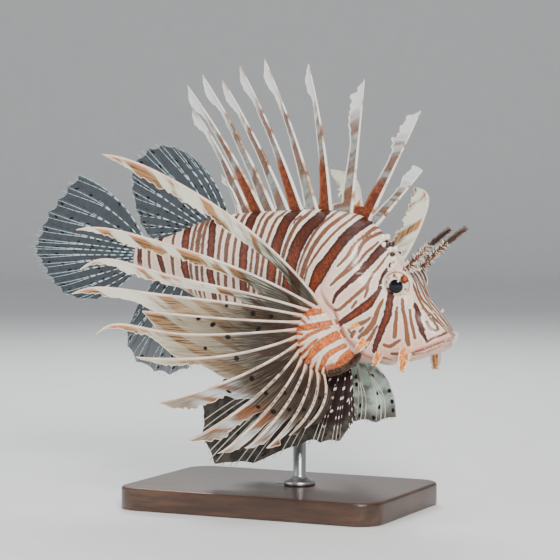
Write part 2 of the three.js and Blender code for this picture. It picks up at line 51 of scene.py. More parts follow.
# Body: [behind the snout, top, bottom, half width, level of the widest point]
BODY = np.array([
    [3.2, 2.2, -5.4, 5.8, -1.6], [4.2, 4.4, -8.4, 9.4, -2.8], [6.2, 6.9, -11.0, 12.4, -4.1],
    [12, 11.4, -14.4, 14.6, -5], [20, 17.8, -18.6, 16.4, -5], [26, 25.4, -21.6, 17.6, -4],
    [33, 32.2, -24.4, 18.8, -3], [42, 37.2, -27.2, 20.6, -1], [52, 46.0, -29.6, 22.4, 1.5],
    [64, 54.4, -31.4, 24.0, 4], [76, 58.0, -32.6, 24.6, 6], [90, 57.4, -33.6, 23.8, 8],
    [106, 55.0, -33.6, 21.8, 9], [124, 50.2, -32.0, 19.0, 9], [142, 45.2, -28.6, 15.6, 8],
    [160, 39.4, -23.6, 12.0, 6.5], [176, 32.4, -18.4, 9.2, 5], [190, 23.8, -14.8, 7.4, 3.4],
    [206, 13.4, -12.0, 5.6, 1.2], [223, 9.4, -10.3, 4.0, -0.3]])
BODY_LENGTH = 223.0
SQUARE = {"body": 2.05, "cheeks": 0.65, "back": 34, "long": 20}
BROW = {"back": 37, "side": 12, "height": 3.0, "long": 9, "wide": 3.6, "hollow": 1.8}
NAPE = {"back": 53, "long": 11, "pinch": 0.5, "drop": 2.0}
STOP = {"back": 25, "long": 4.5, "drop": 2.4}
EYE = {"at": (38.2, 12.9, 24.6), "radius": 8.1, "pupil": 31, "opening": 76}
LID = {"edge": 1.15, "back": 0.8, "rim": 0.5, "tuck": 1.5}
LIPS = {"full": 1.3, "off": 2.3, "wide": 1.3, "slit": 1.9, "gap": 0.8}
GILL = {"flap": 1.5, "fade": 9, "gutter": 0.9}
LOBE = {"back": 71.5, "up": -17, "long": 21.5, "high": 24, "out": 25.6, "flare": 0.17, "rim": 5,
        "crown": 2.2, "depth": 10, "ridge": 1.1, "thin": 2.1}
# Height of the fine ripple of the skin
RIPPLE = 0.12
# Thin lines down the roof of the snout, by how far they start from its middle
ROOF_LINES = [1.3, 4.3, 7.4, 10.6]
# Paths on the side of the head, [behind the snout, up]
GILL_EDGE = [[66, 52], [76, 30], [82, 13], [77, 4.5], [71, 0.5], [68, -4.5], [64, -9.8], [60, -15],
             [54.5, -19], [49, -22.6], [41, -25], [34, -28], [30, -44]]
MOUTH = [[-8, -0.8], [0, -1.2], [3, -3.2], [8, -6.6], [14, -10.6], [21, -14.8], [25, -18]]
JAW_END = [[20.5, -12], [24.5, -18.5]]
# Nostrils: place, depth, radius and height of the rim round it
NOSTRILS = [(15.8, 9.6, 1.3, 0.9, 0.7), (20.4, 13.4, 0.9, 0.8, 0.0)]
# Bony ridges under the head's skin: the cheek's from below the eye, the gill cover's and the nape's
RIDGES = [([[24, 14], [33, 9.5], [44, 6.5], [55, 0.5]], 1.1, 1.3),
          ([[30, 3], [40, -4], [50, -6]], 0.7, 1.2),
          ([[53, 4], [57, -4], [56, -12], [49, -17]], 1.0, 1.1), ([[47, 29], [57, 27], [66, 24]], 0.8, 1.3),
          ([[46, 38.5], [52, 43.5], [57, 46.5]], 1.2, 1.1), ([[60, 20], [70, 16], [78, 12]], 0.6, 1.2),
          ([[19, 17], [24, 21], [29, 27]], 0.8, 1.2)]
# Markings: each list has a point behind the snout, its height and the half width there, point by point
# Red-brown bands of the trunk
TRUNK_BANDS = [
    [68.5, 78, 3.6, 69.2, 60, 3.8, 71.5, 53, 3.6, 74.6, 47.6, 3.5, 77.2, 42, 3.6, 79.6, 35.4, 3.5,
     82.2, 29, 3.7, 85, 22, 4.5, 86.4, 16.5, 4.1, 88.4, 8, 2.6, 90, -10, 2.2, 90, -36, 1.5],
    [97, 78, 3.8, 97.6, 62, 3.8, 98.2, 52.5, 3.9, 101, 47, 4.1, 103, 42, 4.4, 104.8, 36.5, 4.5,
     105.8, 30, 4.5, 106.2, 20, 4.4, 105.5, 12, 4.2, 104, -6, 3.6, 102, -36, 2],
    [116, 70, 3.7, 117.2, 52, 3.8, 119, 46, 3.9, 119.7, 38, 3.9, 119.7, 28, 3.9, 119.2, 18, 3.8,
     117, -2, 3.3, 114.5, -36, 2],
    [145, 60, 3, 144.4, 44, 3.2, 144.3, 36, 3.3, 143, 26, 3.2, 141, 14, 3.1, 138, 2, 2.9, 134, -12, 2.4,
     131, -32, 1.5],
    [172, 46, 2.7, 171, 31, 2.8, 169, 24, 2.8, 167, 16, 2.8, 164, 1, 2.6, 160, -8, 2.3, 156, -24, 1.3],
    [193, 32, 2.7, 189.5, 24, 2.8, 187.6, 17, 2.8, 184.4, 1.5, 2.7, 181, -6, 2.3, 177, -18, 1.4],
    [209, 20, 1.9, 206, 7, 1.9, 203, 0.5, 1.9, 200, -5, 1.8, 196, -15, 1.4],
    [223.5, 12, 1.8, 221, 6, 1.8, 219.4, 2, 1.8, 218, -5, 1.8, 217, -12, 1.5]]
# Thin lines between the bands, from the head back
THIN_LINES = [
    [77, 62, 0.8, 78.5, 55, 0.8, 81.5, 50.4, 0.8, 85, 44, 0.8, 88.2, 37.5, 0.9, 91.2, 30, 0.8, 94, 20, 0.5,
     94, 8, 0.3],
    [82, 62, 1.2, 84, 56, 1.2, 87, 51.6, 1.3, 90.6, 45.3, 1.4, 93.4, 38.2, 1.4, 95.2, 31, 1.4,
     96.6, 23, 1.4, 97, 14, 1.5, 96, 2, 1.2, 95, -30, 0.6],
    [90, 62, 0.9, 91, 55, 1, 94.3, 49.3, 1, 97, 42, 1, 98.6, 35, 0.9, 99.8, 26, 0.7, 100.4, 14, 0.6,
     99, -30, 0.5],
    [106, 62, 1.3, 107.6, 51.8, 1.3, 110.4, 47, 1.3, 112, 41, 1.3, 113, 32, 1.3, 113, 22, 1.2,
     111.6, 8, 1.2, 109, -30, 0.8], [111.2, 50, 0.5, 113.6, 46.4, 0.5, 115, 41, 0.3],
    [123, 60, 1, 124.6, 48.4, 1, 126.6, 45, 1, 127.3, 38, 1, 127.2, 26, 1.1, 126, 14, 1, 123, -30, 0.7],
    [130, 60, 1.2, 131.6, 46, 1.2, 133, 43, 1.3, 133.1, 36, 1.3, 132.5, 26, 1.3, 130, 13, 1.3,
     126.5, -30, 0.8],
    [136, 56, 0.8, 137.3, 44, 0.9, 137.6, 38, 0.9, 137, 28, 0.9, 134.6, 14, 0.9, 130, -30, 0.6],
    [151.6, 54, 1.3, 151, 39, 1.3, 150.6, 28, 1.1, 148.6, 14, 1, 144, -4, 1, 138, -30, 0.7],
    [157, 50, 1.1, 156.4, 37, 1.3, 156, 22, 1.6, 152.6, 6, 1.4, 146, -26, 0.8],
    [162.6, 48, 1, 162.2, 34, 1.2, 161.6, 22, 1.2, 158.4, 5, 1.1, 151, -24, 0.7],
    [176.6, 40, 1.2, 175.6, 28, 1.2, 174.2, 19, 1.1, 170.6, 2, 1, 165, -20, 0.6],
    [180.6, 38, 1.5, 179.4, 27, 1.5, 177.8, 17, 1.5, 174.4, 0, 1.3, 169, -18, 0.8],
    [185, 36, 1.1, 183.4, 26, 1.1, 182, 17.6, 1.1, 179, 0, 1, 173, -16, 0.6],
    [199, 22, 0.9, 196.4, 12, 1.1, 194, 2.5, 1.2, 189, -14, 0.7],
    [214, 14, 1.1, 212, 2, 1.1, 208.6, -12, 0.9]]
# Bands and lines of the head
HEAD_BANDS = [
    [53.6, 47, 2.3, 54.8, 43.5, 2.5, 56.8, 38.3, 2.4, 58.8, 32.2, 2.2, 61.2, 25.8, 1.9, 65, 19.6, 1.5,
     69.1, 13.9, 1.3, 71.6, 9.2, 1, 71.8, 5, 0.7],
    [46.2, 37, 0.9, 47.4, 30.5, 1.2, 48.1, 24.7, 1, 46.8, 19.7, 1.2, 47.7, 15.4, 1.7, 50.8, 9.4, 2.7,
     55.6, 3.6, 2.6, 60.7, -1.7, 2, 66, -7, 1.4],
    [39.8, 19.6, 2, 38.5, 13, 2.1, 37.8, 7.1, 2.4, 38.8, 0.1, 2.2, 40, -6.9, 1.9, 41.4, -14, 1.7,
     42.2, -18.2, 1.3],
    [28.6, 31, 0.7, 28.1, 28, 0.8, 26.7, 22.9, 1.1, 24.3, 17.5, 1.3, 22, 12.1, 1.4, 19.2, 6.1, 1.5,
     15.6, 0.3, 1.3, 12, -4.2, 0.6]]
HEAD_LINES = [
    [58.4, 52, 0.7, 60.5, 50.3, 0.9, 63.9, 46.3, 0.9, 65.6, 42, 0.9, 65.9, 36, 0.9, 67.5, 30.3, 0.8,
     69.9, 25, 0.7, 73.4, 20, 0.4],
    [62.4, 55.6, 0.8, 63.8, 53, 1, 65.8, 48.2, 1, 68.8, 44.4, 1, 69.9, 39.1, 1, 71.2, 33.5, 0.9,
     74.8, 27, 0.5],
    [58.6, 45.6, 0.4, 59.8, 42.5, 0.6, 62, 38.1, 0.7, 63.6, 32.5, 0.7, 67.1, 26.4, 0.7, 71.7, 21.2, 0.8,
     76, 15, 0.5],
    [50.6, 40.4, 0.4, 51.6, 36.8, 0.6, 53, 30.7, 0.7, 54.1, 25.9, 0.7, 54.8, 20, 0.8, 58.2, 14.3, 0.8,
     62.8, 7.9, 0.8, 67.4, 1.8, 0.7, 70.4, 1.4, 0.5], [54.4, 20.7, 0.6, 53.3, 16.9, 0.7, 53.7, 12.6, 0.4],
    [58, 9.2, 0.6, 60, 4.4, 0.5],
    [42.8, 14, 0.5, 43.5, 10.4, 0.9, 44.4, 4.9, 1.1, 45.3, -0.8, 1.4, 48, -6.8, 1.3, 52.2, -12, 1],
    [47.6, 1.6, 0.6, 51, -2.1, 1, 55.5, -4.5, 1],
    [42.7, -2.6, 0.5, 44.5, -8, 0.8, 47, -14.1, 1.1, 48, -17, 0.8], [55.6, -9, 0.9, 56.8, -12.4, 0.9],
    [58.9, -8.4, 1, 58, -9.4, 0.8], [50.8, -5.4, 0.5, 52.4, -8.2, 0.7],
    [33.4, 11.4, 0.4, 32.5, 5, 0.8, 31.8, -0.2, 1, 31.2, -6.2, 1.1],
    [36.4, -12.8, 0.8, 33, -12.8, 0.9, 30.2, -10.2, 0.8, 27.6, -7.6, 0.5],
    [32.2, 18, 0.7, 29.9, 11.7, 0.8, 27.5, 6.2, 0.9, 25.1, 0, 1, 23.2, -6.2, 1.3, 22, -9, 0.9],
    [25.8, 11.6, 0.45, 24, 6.4, 0.6, 21.3, 0.9, 0.75, 19, -4.2, 0.7],
    [32.2, 30.6, 0.4, 29, 27.4, 0.45, 25.5, 24.3, 0.5, 20.3, 18.4, 0.4],
    [30.4, 28.2, 0.35, 27.6, 24.6, 0.4, 23.6, 20, 0.35], [34.2, 32, 0.4, 28.7, 27.6, 0.5, 22.4, 20.4, 0.4],
    [20.2, 15.2, 0.4, 19, 13.4, 0.6, 13.9, 9.6, 0.7, 9.5, 6.2, 0.6, 7.8, 3.4, 0.4],
    [17.4, 14.8, 0.5, 11.6, 10.4, 0.65, 7, 6.4, 0.45],
    [18.8, 16.6, 0.4, 14.3, 12.8, 0.6, 9.4, 8.8, 0.6, 5.8, 6.3, 0.4],
    [15.2, 6.6, 0.5, 12.2, 3.5, 0.6, 8.6, 2.6, 0.4], [20.4, 9.4, 0.35, 17.6, 4.8, 0.5, 14.6, 2, 0.35],
    [11.6, -5, 0.4, 8.4, -1.6, 0.45, 5.2, 0.6, 0.45, 3.8, 2.6, 0.4, 3.4, 4.6, 0.35],
    [1, -3.9, 0.35, 3.9, -6.1, 0.5, 8.3, -9.2, 0.5, 12, -11.9, 0.35],
    [13.4, -12.4, 0.35, 18.5, -14.7, 0.5, 23, -16.4, 0.35], [27, -16.4, 0.7, 31.6, -17.2, 0.6],
    [32.5, -21.5, 0.4, 37.6, -21, 0.55, 42, -22.6, 0.4]]
# Orange stripes of the pectoral fin's base, out to the roots of the rays
BASE_STRIPES = [
    [69.5, 2.6, 1.8, 74.6, 1.6, 2, 80, -1.8, 2.1, 86.5, -4.6, 1.8, 94, -6, 0.9],
    [67, -5.6, 1.4, 73.2, -8.2, 1.6, 80.5, -11.6, 1.7, 87.5, -14.6, 1.5, 93, -17, 0.7],
    [71.5, -10.4, 0.5, 76, -12.8, 0.8, 82, -17.5, 0.9, 88, -24, 0.6],
    [63, -12.2, 2.4, 67.6, -15, 2.6, 73, -20.6, 2.6, 77.6, -27.5, 2.1, 81.5, -34.5, 1],
    [76, -18.5, 0.4, 80.4, -24, 0.8, 84.5, -31, 0.5],
    [61.4, -19.6, 1.1, 66.4, -24.4, 1.4, 69.6, -30, 1.4, 72, -38, 0.8],
    [57.5, -21.5, 1.3, 60.4, -26.5, 1.4, 62, -34, 0.9]]
# Distance from a mark that counts as none near
FAR_OFF = 9.0
# Marks on the iris: place forwards and up from the pupil's middle, size and colour
EYE_MARKS = [
    (-0.42, -0.56, 0.36, "#240c0e"), (-0.5, -0.72, 0.2, "#5c2818"), (0.5, 0.62, 0.32, "#5c2a14"),
    (0.56, 0.66, 0.16, "#ac602e"), (-0.3, 0.72, 0.12, "#8c4a26"), (-0.08, 0.66, 0.07, "#b0683c"),
    (-0.76, 0.1, 0.09, "#965c3c"), (0.74, -0.1, 0.08, "#8c5432"), (0.5, -0.66, 0.09, "#844a2c"),
    (-0.66, 0.42, 0.07, "#844a2c")]
# Knobs on each side of the nape: behind the snout, turn from the ridge, size, and white or dark
NAPE_KNOBS = [(57.6, 0.2, 2.1, 1.0), (55.4, 0.34, 1.5, 1.0), (53.6, 0.22, 1.9, -1.0), (51, 0.26, 1.9, 1.0),
              (48.6, 0.3, 1.6, -1.0), (46.6, 0.42, 1.7, 1.0), (45, 0.6, 1.3, 1.0)]
KNOB_PROFILE = np.array([0.9, 1, 1.02, 1.08, 1.06, 0.94, 0.74, 0.44, 0.03])
# Leaves of skin under the eye, on the cheek and at its rear: root, tip and width
CHEEK_LEAVES = [([39, 15.5, -15], [39.6, 19.6, -26.5], 2.3), ([47.5, 18.5, -10], [50.4, 25.6, -19.5], 2.6),
                ([54, 22, -2.5], [58, 25.8, -8.5], 1.8)]
# Free dorsal spines: [root behind the snout, length, lean], 90 straight up, less leans forwards
SPINES = [[64, 44.5, 60], [69.5, 73.5, 76.2], [82.5, 82, 95.8], [96.5, 91.5, 112.8],
          [106, 99, 122.8], [116, 101, 128.6], [125, 93, 131], [134.5, 99.5, 133.4],
          [142, 94.5, 135.5], [150.5, 79, 134.4], [156.6, 27, 132]]
SPINE = {"root": 1.15, "tip": 0.3, "bow": 2.0, "lean": 0.03, "sag": 1.6, "flutter": 0.5}
# Width of the web behind a spine along its length
LANCE_WEB = [[0, 8.2], [0.2, 6.2], [0.45, 4.2], [0.7, 3], [0.77, 3], [0.83, 4.6], [0.89, 5], [0.95, 3],
             [1, 0.4]]
FLAG_WEB = [[0, 7.4], [0.2, 7.2], [0.4, 6.2], [0.58, 6], [0.7, 8.6], [0.8, 6.8], [0.88, 7.2],
            [0.95, 4.5], [1, 0.5]]
STUMP_WEB = [[0, 6.2], [0.3, 5.6], [0.6, 5], [0.8, 7], [1, 6.6]]
# Spines whose web carries a body band upwards, and how far along the spine it reaches
BANDED_SPINES = {1: 0.34, 3: 0.36, 5: 0.36, 8: 0.34}
# Fans of rays: first and last root, then lengths, angles and bows spread evenly over the fan
SOFT_DORSAL = ([163.5, 35.5], [193, 19.5], [42, 53, 62, 67, 65, 56, 43, 32, 19],
               [47, 45, 40.5, 32.5, 22, 14, 1, -13, -32], [3, 2.5, 2])
ANAL = ([166, -17], [205, -10], [40, 43, 50, 58, 60, 60, 54, 44, 26],
        [-113, -100, -94.5, -87, -81, -72, -66, -64, -66], [])
CAUDAL = ([219, 8], [219, -9], [65, 69, 76, 80, 81.5, 75, 68, 59, 39],
          [28.5, 14.5, 3, -7, -11.5, -17.5, -25.5, -34, -46], [7, 3, 0, 0, 0, 0, -1, -2, -2])
RIGHT_PELVIC = ([61.5, -27], [75, -29.5], [38, 52, 55, 62, 86, 103, 100, 88, 66],
                [-112, -101, -90, -78, -65, -55, -45.5, -34, -25], [0, 0, 0, 0, -2, -4, -4, -4, -2])
LEFT_PELVIC = ([60, -27], [75, -29.5], [44, 44, 43, 51, 72, 94, 96, 84, 64],
               [-130, -114, -99, -84, -69, -56, -46, -35, -26], [7, 5, 2, 0, -2, -4, -4, -4, -2])
RAY_COUNT = 14
RAY_FAN = {"from": 62, "to": -95, "inset": 0.93}
# How far out each pectoral ray is webbed to the next
WEB_REACH = [16, 34, 38, 97, 92, 82, 56, 49, 46, 44, 38, 33, 19]
RIGHT_RAYS = {
    "length": [160.5, 151.5, 141.5, 142, 100, 124.5, 103, 97.5, 93.5, 85.5, 72.5, 64.5, 50, 40],
    "turn": [33, 32.7, 35.8, 36.5, 44.5, 40.7, 47.7, 55.3, 66.5, 76.6, 84.5, 92, 98, 102],
    "rise": [24, 7.7, 0.5, -4, -3.7, -10, -13.6, -26, -37, -42, -42, -43.5, -44, -49],
    "bow": [13, 9, 5.5, 5, 0, -0.5, -4.5, -2.3, -2.3, -1, 0, 0, 0.3, 0.8],
    "hook": [2, 3, 7.5, 4, 0, 7, 0, 0, -1, -1, -1, 0, 0, 0],
    "sweep": [6] * RAY_COUNT,
    "curl": [0] * RAY_COUNT,
    "blade": [8, 6.4, 5.6, 6.2, 3, 4.2, 4, 7.6, 6.4, 6, 5.6, 5, 4.2, 3.6],
    "taper": [0.2] * RAY_COUNT}
LEFT_RAYS = {
    "length": [127, 127, 122, 125, 96, 112, 96, 86, 80, 72, 62, 54, 46, 38],
    "turn": [83.2, 52.5, 55, 57, 60, 62, 66, 70, 74, 78, 82, 86, 90, 94],
    "rise": [32, 33.5, 18, 8, 0, -7, -13, -19, -25, -30, -34, -37, -40, -42],
    "bow": [-9, 8, 6, 4, 0, 0, -3, -2, -2, -1, 0, 0, 0, 0],
    "hook": [6, 4, 5, 3, 0, 5, 0, 0, -1, -1, -1, 0, 0, 0],
    "sweep": [13.5, 15, 12, 10, 8, 8, 6, 6, 6, 5, 5, 4, 4, 3],
    "curl": [7, 8, 3, 2, 0, 3, 0, 0, 0, 0, 0, 0, 0, 0],
    "blade": [12, 12.5, 7] + RIGHT_RAYS["blade"][3:],
    "taper": [0.09, 0.09] + [0.2] * (RAY_COUNT - 2)}
# Dark spots on the web behind a ray: ray, distance out, place across the web, and radius
FIN_SPOTS = [(3, 49, 0.2, 1.1), (4, 66, 0.1, 1.4), (4, 56, 0.4, 1.7), (5, 45, 0.15, 1.7), (6, 42, 0.2, 1.6),
             (7, 38, 0.3, 1.6), (8, 36, 0.25, 1.4), (9, 27, 0.3, 1.3), (9, 42, 0.5, 1.7), (10, 35, 0.4, 1.4),
             (10, 20, 0.4, 1.1), (11, 30, 0.5, 1.2), (12, 18, 0.5, 1.1), (8, 46, 0.6, 1.3),
             (3, 32, 0.5, 1.7), (4, 26, 0.7, 1.6), (3, 20, 0.6, 1.4), (5, 60, 0.6, 1.2), (7, 55, 0.6, 1.2)]
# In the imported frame
STAND = {"length": 176, "width": 116, "thick": 14, "corner": 16, "soft": 1.8}
ROD = {"x": 13.5, "radius": 4, "collar": 10, "foot": 14.3, "belly": 100.5}
CAMERA = {"azimuth": 25, "elevation": 3, "distance": 1.4, "target": (0.0, 0.0, 0.142), "lens": 144,
          "sensor": 36}
LIGHTS_TOWARDS = (0.0, 0.0, 0.15)


def to_world(points):
    """Points in the fish's frame, in millimetres, as metres in the model's frame."""
    back, side, up = np.moveaxis(np.asarray(points, float), -1, 0)
    x = SNOUT_AT[0] - back * cos(NOSE_DOWN) + up * sin(NOSE_DOWN)
    z = SNOUT_AT[2] + back * sin(NOSE_DOWN) + up * cos(NOSE_DOWN)
    return np.stack([x, side + SNOUT_AT[1], z], -1) * MM


def bell(value, middle, spread):
    return np.exp(-((value - middle) / spread) ** 2)


def smooth(value, low, high):
    """0 below low, 1 above high and a smooth rise between, or a fall if high is the lower."""
    t = np.clip((value - low) / (high - low), 0, 1)
    return t * t * (3 - 2 * t)


def unit(v):
    return v / np.maximum(np.linalg.norm(v, axis=-1, keepdims=True), 1e-9)


def circle(count):
    return np.arange(count) / count * 2 * pi


def curve_through(x, y):
    """A smooth curve through points, as a function."""
    x, y = np.asarray(x, float), np.asarray(y, float)
    a = np.maximum(np.arange(len(x)) - 1, 0)
    b = np.minimum(np.arange(len(x)) + 1, len(x) - 1)
    slope = (y[b] - y[a]) / (x[b] - x[a])

    def at(value):
        v = np.clip(value, x[0], x[-1])
        i = np.clip(np.searchsorted(x, v, side="right") - 1, 0, len(x) - 2)
        span = x[i + 1] - x[i]
        t = (v - x[i]) / span
        return (y[i] * (1 + 2 * t) * (1 - t) ** 2 + slope[i] * span * t * (1 - t) ** 2
                + y[i + 1] * t * t * (3 - 2 * t) + slope[i + 1] * span * t * t * (t - 1))
    return at


def even_curve(values):
    """A smooth curve through evenly spaced values, from 0 to 1 along."""
    return curve_through(np.linspace(0, 1, len(values)), values)


def path_through(points, count):
    """A smooth path through points in the plane, as count points."""
    steps = np.linspace(0, len(points) - 1, count)
    return np.stack([curve_through(range(len(points)), line)(steps) for line in np.transpose(points)], -1)


def wobble(seed, at, step, low=-1.0, high=1.0):
    """Smooth random numbers along a line, with a new one each step."""
    count = int(np.max(at) / step) + 3
    return np.interp(at / step, np.arange(count), np.random.default_rng(seed).uniform(low, high, count))


class Shape:
    """Grids of points that become one mesh, with numbers at each point for its material."""

    def __init__(self, *fields, place=to_world):
        self.place, self.count, self.shared = place, 0, None
        self.points, self.faces, self.corners, self.tiles = [], [], [], []
        self.values = {field: [] for field in fields}

    def grid(self, points, wrap=False, flip=False, shared=False, **values):
        """A sheet of rows and columns. wrap joins the last column to the first, flip turns the sheet
        over, and shared grids all have one place on the UV map."""
        turn = slice(None, None, -1 if flip else 1)
        points = np.asarray(points, float)[:, turn]
        rows, cols = points.shape[:2]
        self.points.append(points.reshape(-1, 3))
        for field, kept in self.values.items():
            kept.append(np.broadcast_to(values.get(field, 0.0), (rows, cols))[:, turn].reshape(-1))
        spans = cols if wrap else cols - 1
        i, j = [k.reshape(-1) for k in np.meshgrid(np.arange(rows - 1), np.arange(spans), indexing="ij")]
        a, b = i * cols + j, i * cols + (j + 1) % cols
        self.faces.append(np.stack([a, b, b + cols, a + cols], -1) + self.count)
        self.count += rows * cols
        tile = self.shared if shared else None
        if tile is None:
            tile = len(self.tiles)
            size = [np.linalg.norm(np.diff(points, axis=k), axis=-1).sum(k).mean() for k in (1, 0)]
            self.tiles.append(np.maximum(size, 0.5))
            self.shared = tile if shared else self.shared
        uv = np.stack([j, i, j + 1, i, j + 1, i + 1, j, i + 1], -1).reshape(-1, 4, 2) / (spans, rows - 1)
        self.corners.append((tile, uv))

    def layout(self):
        """The tiles' places on the UV map, in rows of tiles of about one height."""
        margin, scale = 0.003, 1 / np.max(self.tiles)
        while True:
            x = y = shelf = 0.0
            places = {}
            for k in sorted(range(len(self.tiles)), key=lambda k: -self.tiles[k][1]):
                w, h = self.tiles[k] * scale + 2 * margin
                if x + w > 1:
                    x, y, shelf = 0.0, y + shelf, 0.0
                places[k] = np.array([x, y]) + margin, self.tiles[k] * scale
                x, shelf = x + w, max(shelf, h)
            if y + shelf <= 1:
                return places
            scale *= 0.96

    def piece(self, name, material):
        """The mesh as an object in the scene."""
        places = self.layout()
        uv = [uv * places[tile][1] + places[tile][0] for tile, uv in self.corners]
        mesh = bpy.data.meshes.new(name)
        mesh.from_pydata(self.place(np.concatenate(self.points)), [], np.concatenate(self.faces),
                         shade_flat=False)
        mesh.uv_layers.new(name="OFBake").data.foreach_set("uv", np.concatenate(uv).reshape(-1))
        for field, kept in self.values.items():
            mesh.attributes.new(field, "FLOAT", "POINT").data.foreach_set("value", np.concatenate(kept))
        mesh.validate()
        mesh.materials.append(material)
        made = bpy.data.objects.new(name, mesh)
        bpy.context.scene.collection.objects.link(made)
        return made

    def build(self, name, material, slot, *nodes):
        """The mesh as a piece of the fish or the stand, which replaces these nodes."""
        made = self.piece(name, material)
        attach(made, "root")
        if nodes:
            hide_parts(*nodes)


def tube(path, radius, sides=8, face=(0.0, 1.0, 0.0)):
    """A tube's grid along a path, with its first side towards face."""
    along = unit(np.gradient(path, axis=0))
    first = unit(face - along * np.sum(along * face, -1, keepdims=True))
    turn = circle(sides)[:, None]
    ring = first[:, None] * np.cos(turn) + np.cross(along, first)[:, None] * np.sin(turn)
    return path[:, None] + np.broadcast_to(radius, len(path))[:, None, None] * ring


# Markings

def trace(path, back, up):
    """Each point's distance from a path seen from the side, how far along it that is from 0 to 1, and
    on which side of it the point lies."""
    best = np.full(back.shape, 1e9)
    along, sign = np.zeros(back.shape), np.ones(back.shape)
    for k, ((x0, y0), (x1, y1)) in enumerate(zip(path[:-1], path[1:])):
        dx, dy = x1 - x0, y1 - y0
        t = np.clip(((back - x0) * dx + (up - y0) * dy) / (dx * dx + dy * dy), 0, 1)
        away = np.hypot(back - x0 - t * dx, up - y0 - t * dy)
        near = away < best
        best = np.where(near, away, best)
        along = np.where(near, (k + t) / (len(path) - 1), along)
        sign = np.where(near, np.sign(dx * (up - y0) - dy * (back - x0)), sign)
    return best, along, sign


def bands_at(bands, back, up):
    """How far outside the nearest of these bands each point lies, less than 0 inside one."""
    out = np.full(back.shape, FAR_OFF)
    for band in bands:
        points = np.reshape(band, (-1, 3))
        away, along, _ = trace(path_through(points[:, :2], 25), back, up)
        out = np.minimum(out, away - even_curve(points[:, 2])(along))
    return out


def roof_lines(back, side):
    """The same for the thin lines that run down the roof of the snout."""
    across = np.abs(side) * 18 / np.maximum(body_half(back), 7)
    return np.min([np.abs(across + 0.5 * np.sin(back * 0.4 + at) - at) for at in ROOF_LINES], axis=0) - 0.95


def before_gill(back, up):
    """How far in front of the gill cover's edge each point lies, and how far down along that edge."""
    away, along, sign = trace(path_through(GILL_EDGE, 60), back, up)
    return -away * sign, along


def markings(back, up):
    """The marking fields of skin: broad bands, thin lines and the orange stripes of the base, and how
    far each point is before the gill cover's edge."""
    gill, _ = before_gill(back, up)
    behind, crown = gill < 0, up > 50
    found = []
    for rear, front, both in ((TRUNK_BANDS, HEAD_BANDS, TRUNK_BANDS[:1]),
                              (THIN_LINES, HEAD_LINES, HEAD_LINES[:2] + THIN_LINES[:1])):
        mark = np.where(behind, bands_at(rear, back, up), bands_at(front, back, up))
        found.append(np.where(crown, np.minimum(mark, bands_at(both, back, up)), mark))
    orange = np.where(behind, bands_at(BASE_STRIPES, back, up), FAR_OFF)
    wider = 0.12 + 0.14 * (gill > 0) * (up < 22)
    return found[0] - 0.15, found[1] - wider, orange - 0.3, gill


# Body

body_top, body_bottom, body_half, body_widest = (curve_through(BODY[:, 0], BODY[:, k]) for k in range(1, 5))


def squareness(back):
    return 2 / (SQUARE["body"] + SQUARE["cheeks"] * bell(back, SQUARE["back"], SQUARE["long"]))


def body_points(back, turn):
    """The skin before its fine detail. turn runs round from the ridge of the back."""
    level, square = body_widest(back), squareness(back)
    across, along = np.sin(turn), np.cos(turn)
    nape, stop = (bell(back, dip["back"], dip["long"]) for dip in (NAPE, STOP))
    side = body_half(back) * np.sign(across) * np.abs(across) ** square
    side = side * (1 - NAPE["pinch"] * nape * smooth(along, 0.2, 0.95))
    reach = np.where(along > 0, body_top(back) - level, level - body_bottom(back))
    up = level + reach * np.sign(along) * np.abs(along) ** square
    brow = BROW["height"] * bell(np.abs(side), BROW["side"], BROW["wide"])
    brow = (brow - BROW["hollow"] * bell(side, 0, BROW["wide"])) * bell(back, BROW["back"], BROW["long"])
    up = up + np.where(along > 0, brow, 0)
    up = up - NAPE["drop"] * nape * smooth(along, 0.2, 0.95)
    up = up - STOP["drop"] * stop * smooth(along, 0.3, 0.95)
    return np.stack([back + 0 * side, side, up], -1)


def skin_detail(points):
    """How far each point of the skin is raised, in millimetres."""
    back, side, up = points[..., 0], np.abs(points[..., 1]), points[..., 2]
    flank = smooth(side, 1.0, 5.0)
    away, along, _ = trace(path_through(MOUTH, 30), back, up)
    lips = LIPS["full"] * bell(away, LIPS["off"], LIPS["wide"]) - LIPS["slit"] * bell(away, 0, LIPS["gap"])
    rise = lips * smooth(along, 1.0, 0.9) * smooth(back, 34, 24)
    rise = rise + 1.2 * bell(trace(JAW_END, back, up)[0], 0, 2.6) * flank
    gill, gill_along = before_gill(back, up)
    flap = GILL["flap"] * smooth(gill, -0.25, 0.35) * np.exp(-np.maximum(gill, 0) / GILL["fade"])
    flap = flap - GILL["gutter"] * bell(gill, -0.8, 1.1)
    rise = rise + flap * smooth(gill_along, 0.02, 0.14) * smooth(back, 30, 36)
    for path, height, wide in RIDGES:
        near, along, _ = trace(path_through(path, 16), back, up)
        rise = rise + height * bell(near, 0, wide) * flank * (1 - 0.5 * along)
    for x, y, depth, radius, rim in NOSTRILS:
        away = np.hypot(back - x, up - y)
        rise = rise + (rim * bell(away, 1.6, 0.6) - depth * bell(away, 0, radius)) * smooth(side, 3, 6)
    ripple = np.sin(back * 0.9 + up * 0.35) * np.sin(up * 0.8 - back * 0.2)
    return rise + RIPPLE * ripple * smooth(gill, 2, -4) * flank


# The way the right eye looks: outwards, a little forwards and up
EYE_AXIS = unit(np.array([-0.26, -1.0, -0.13]))


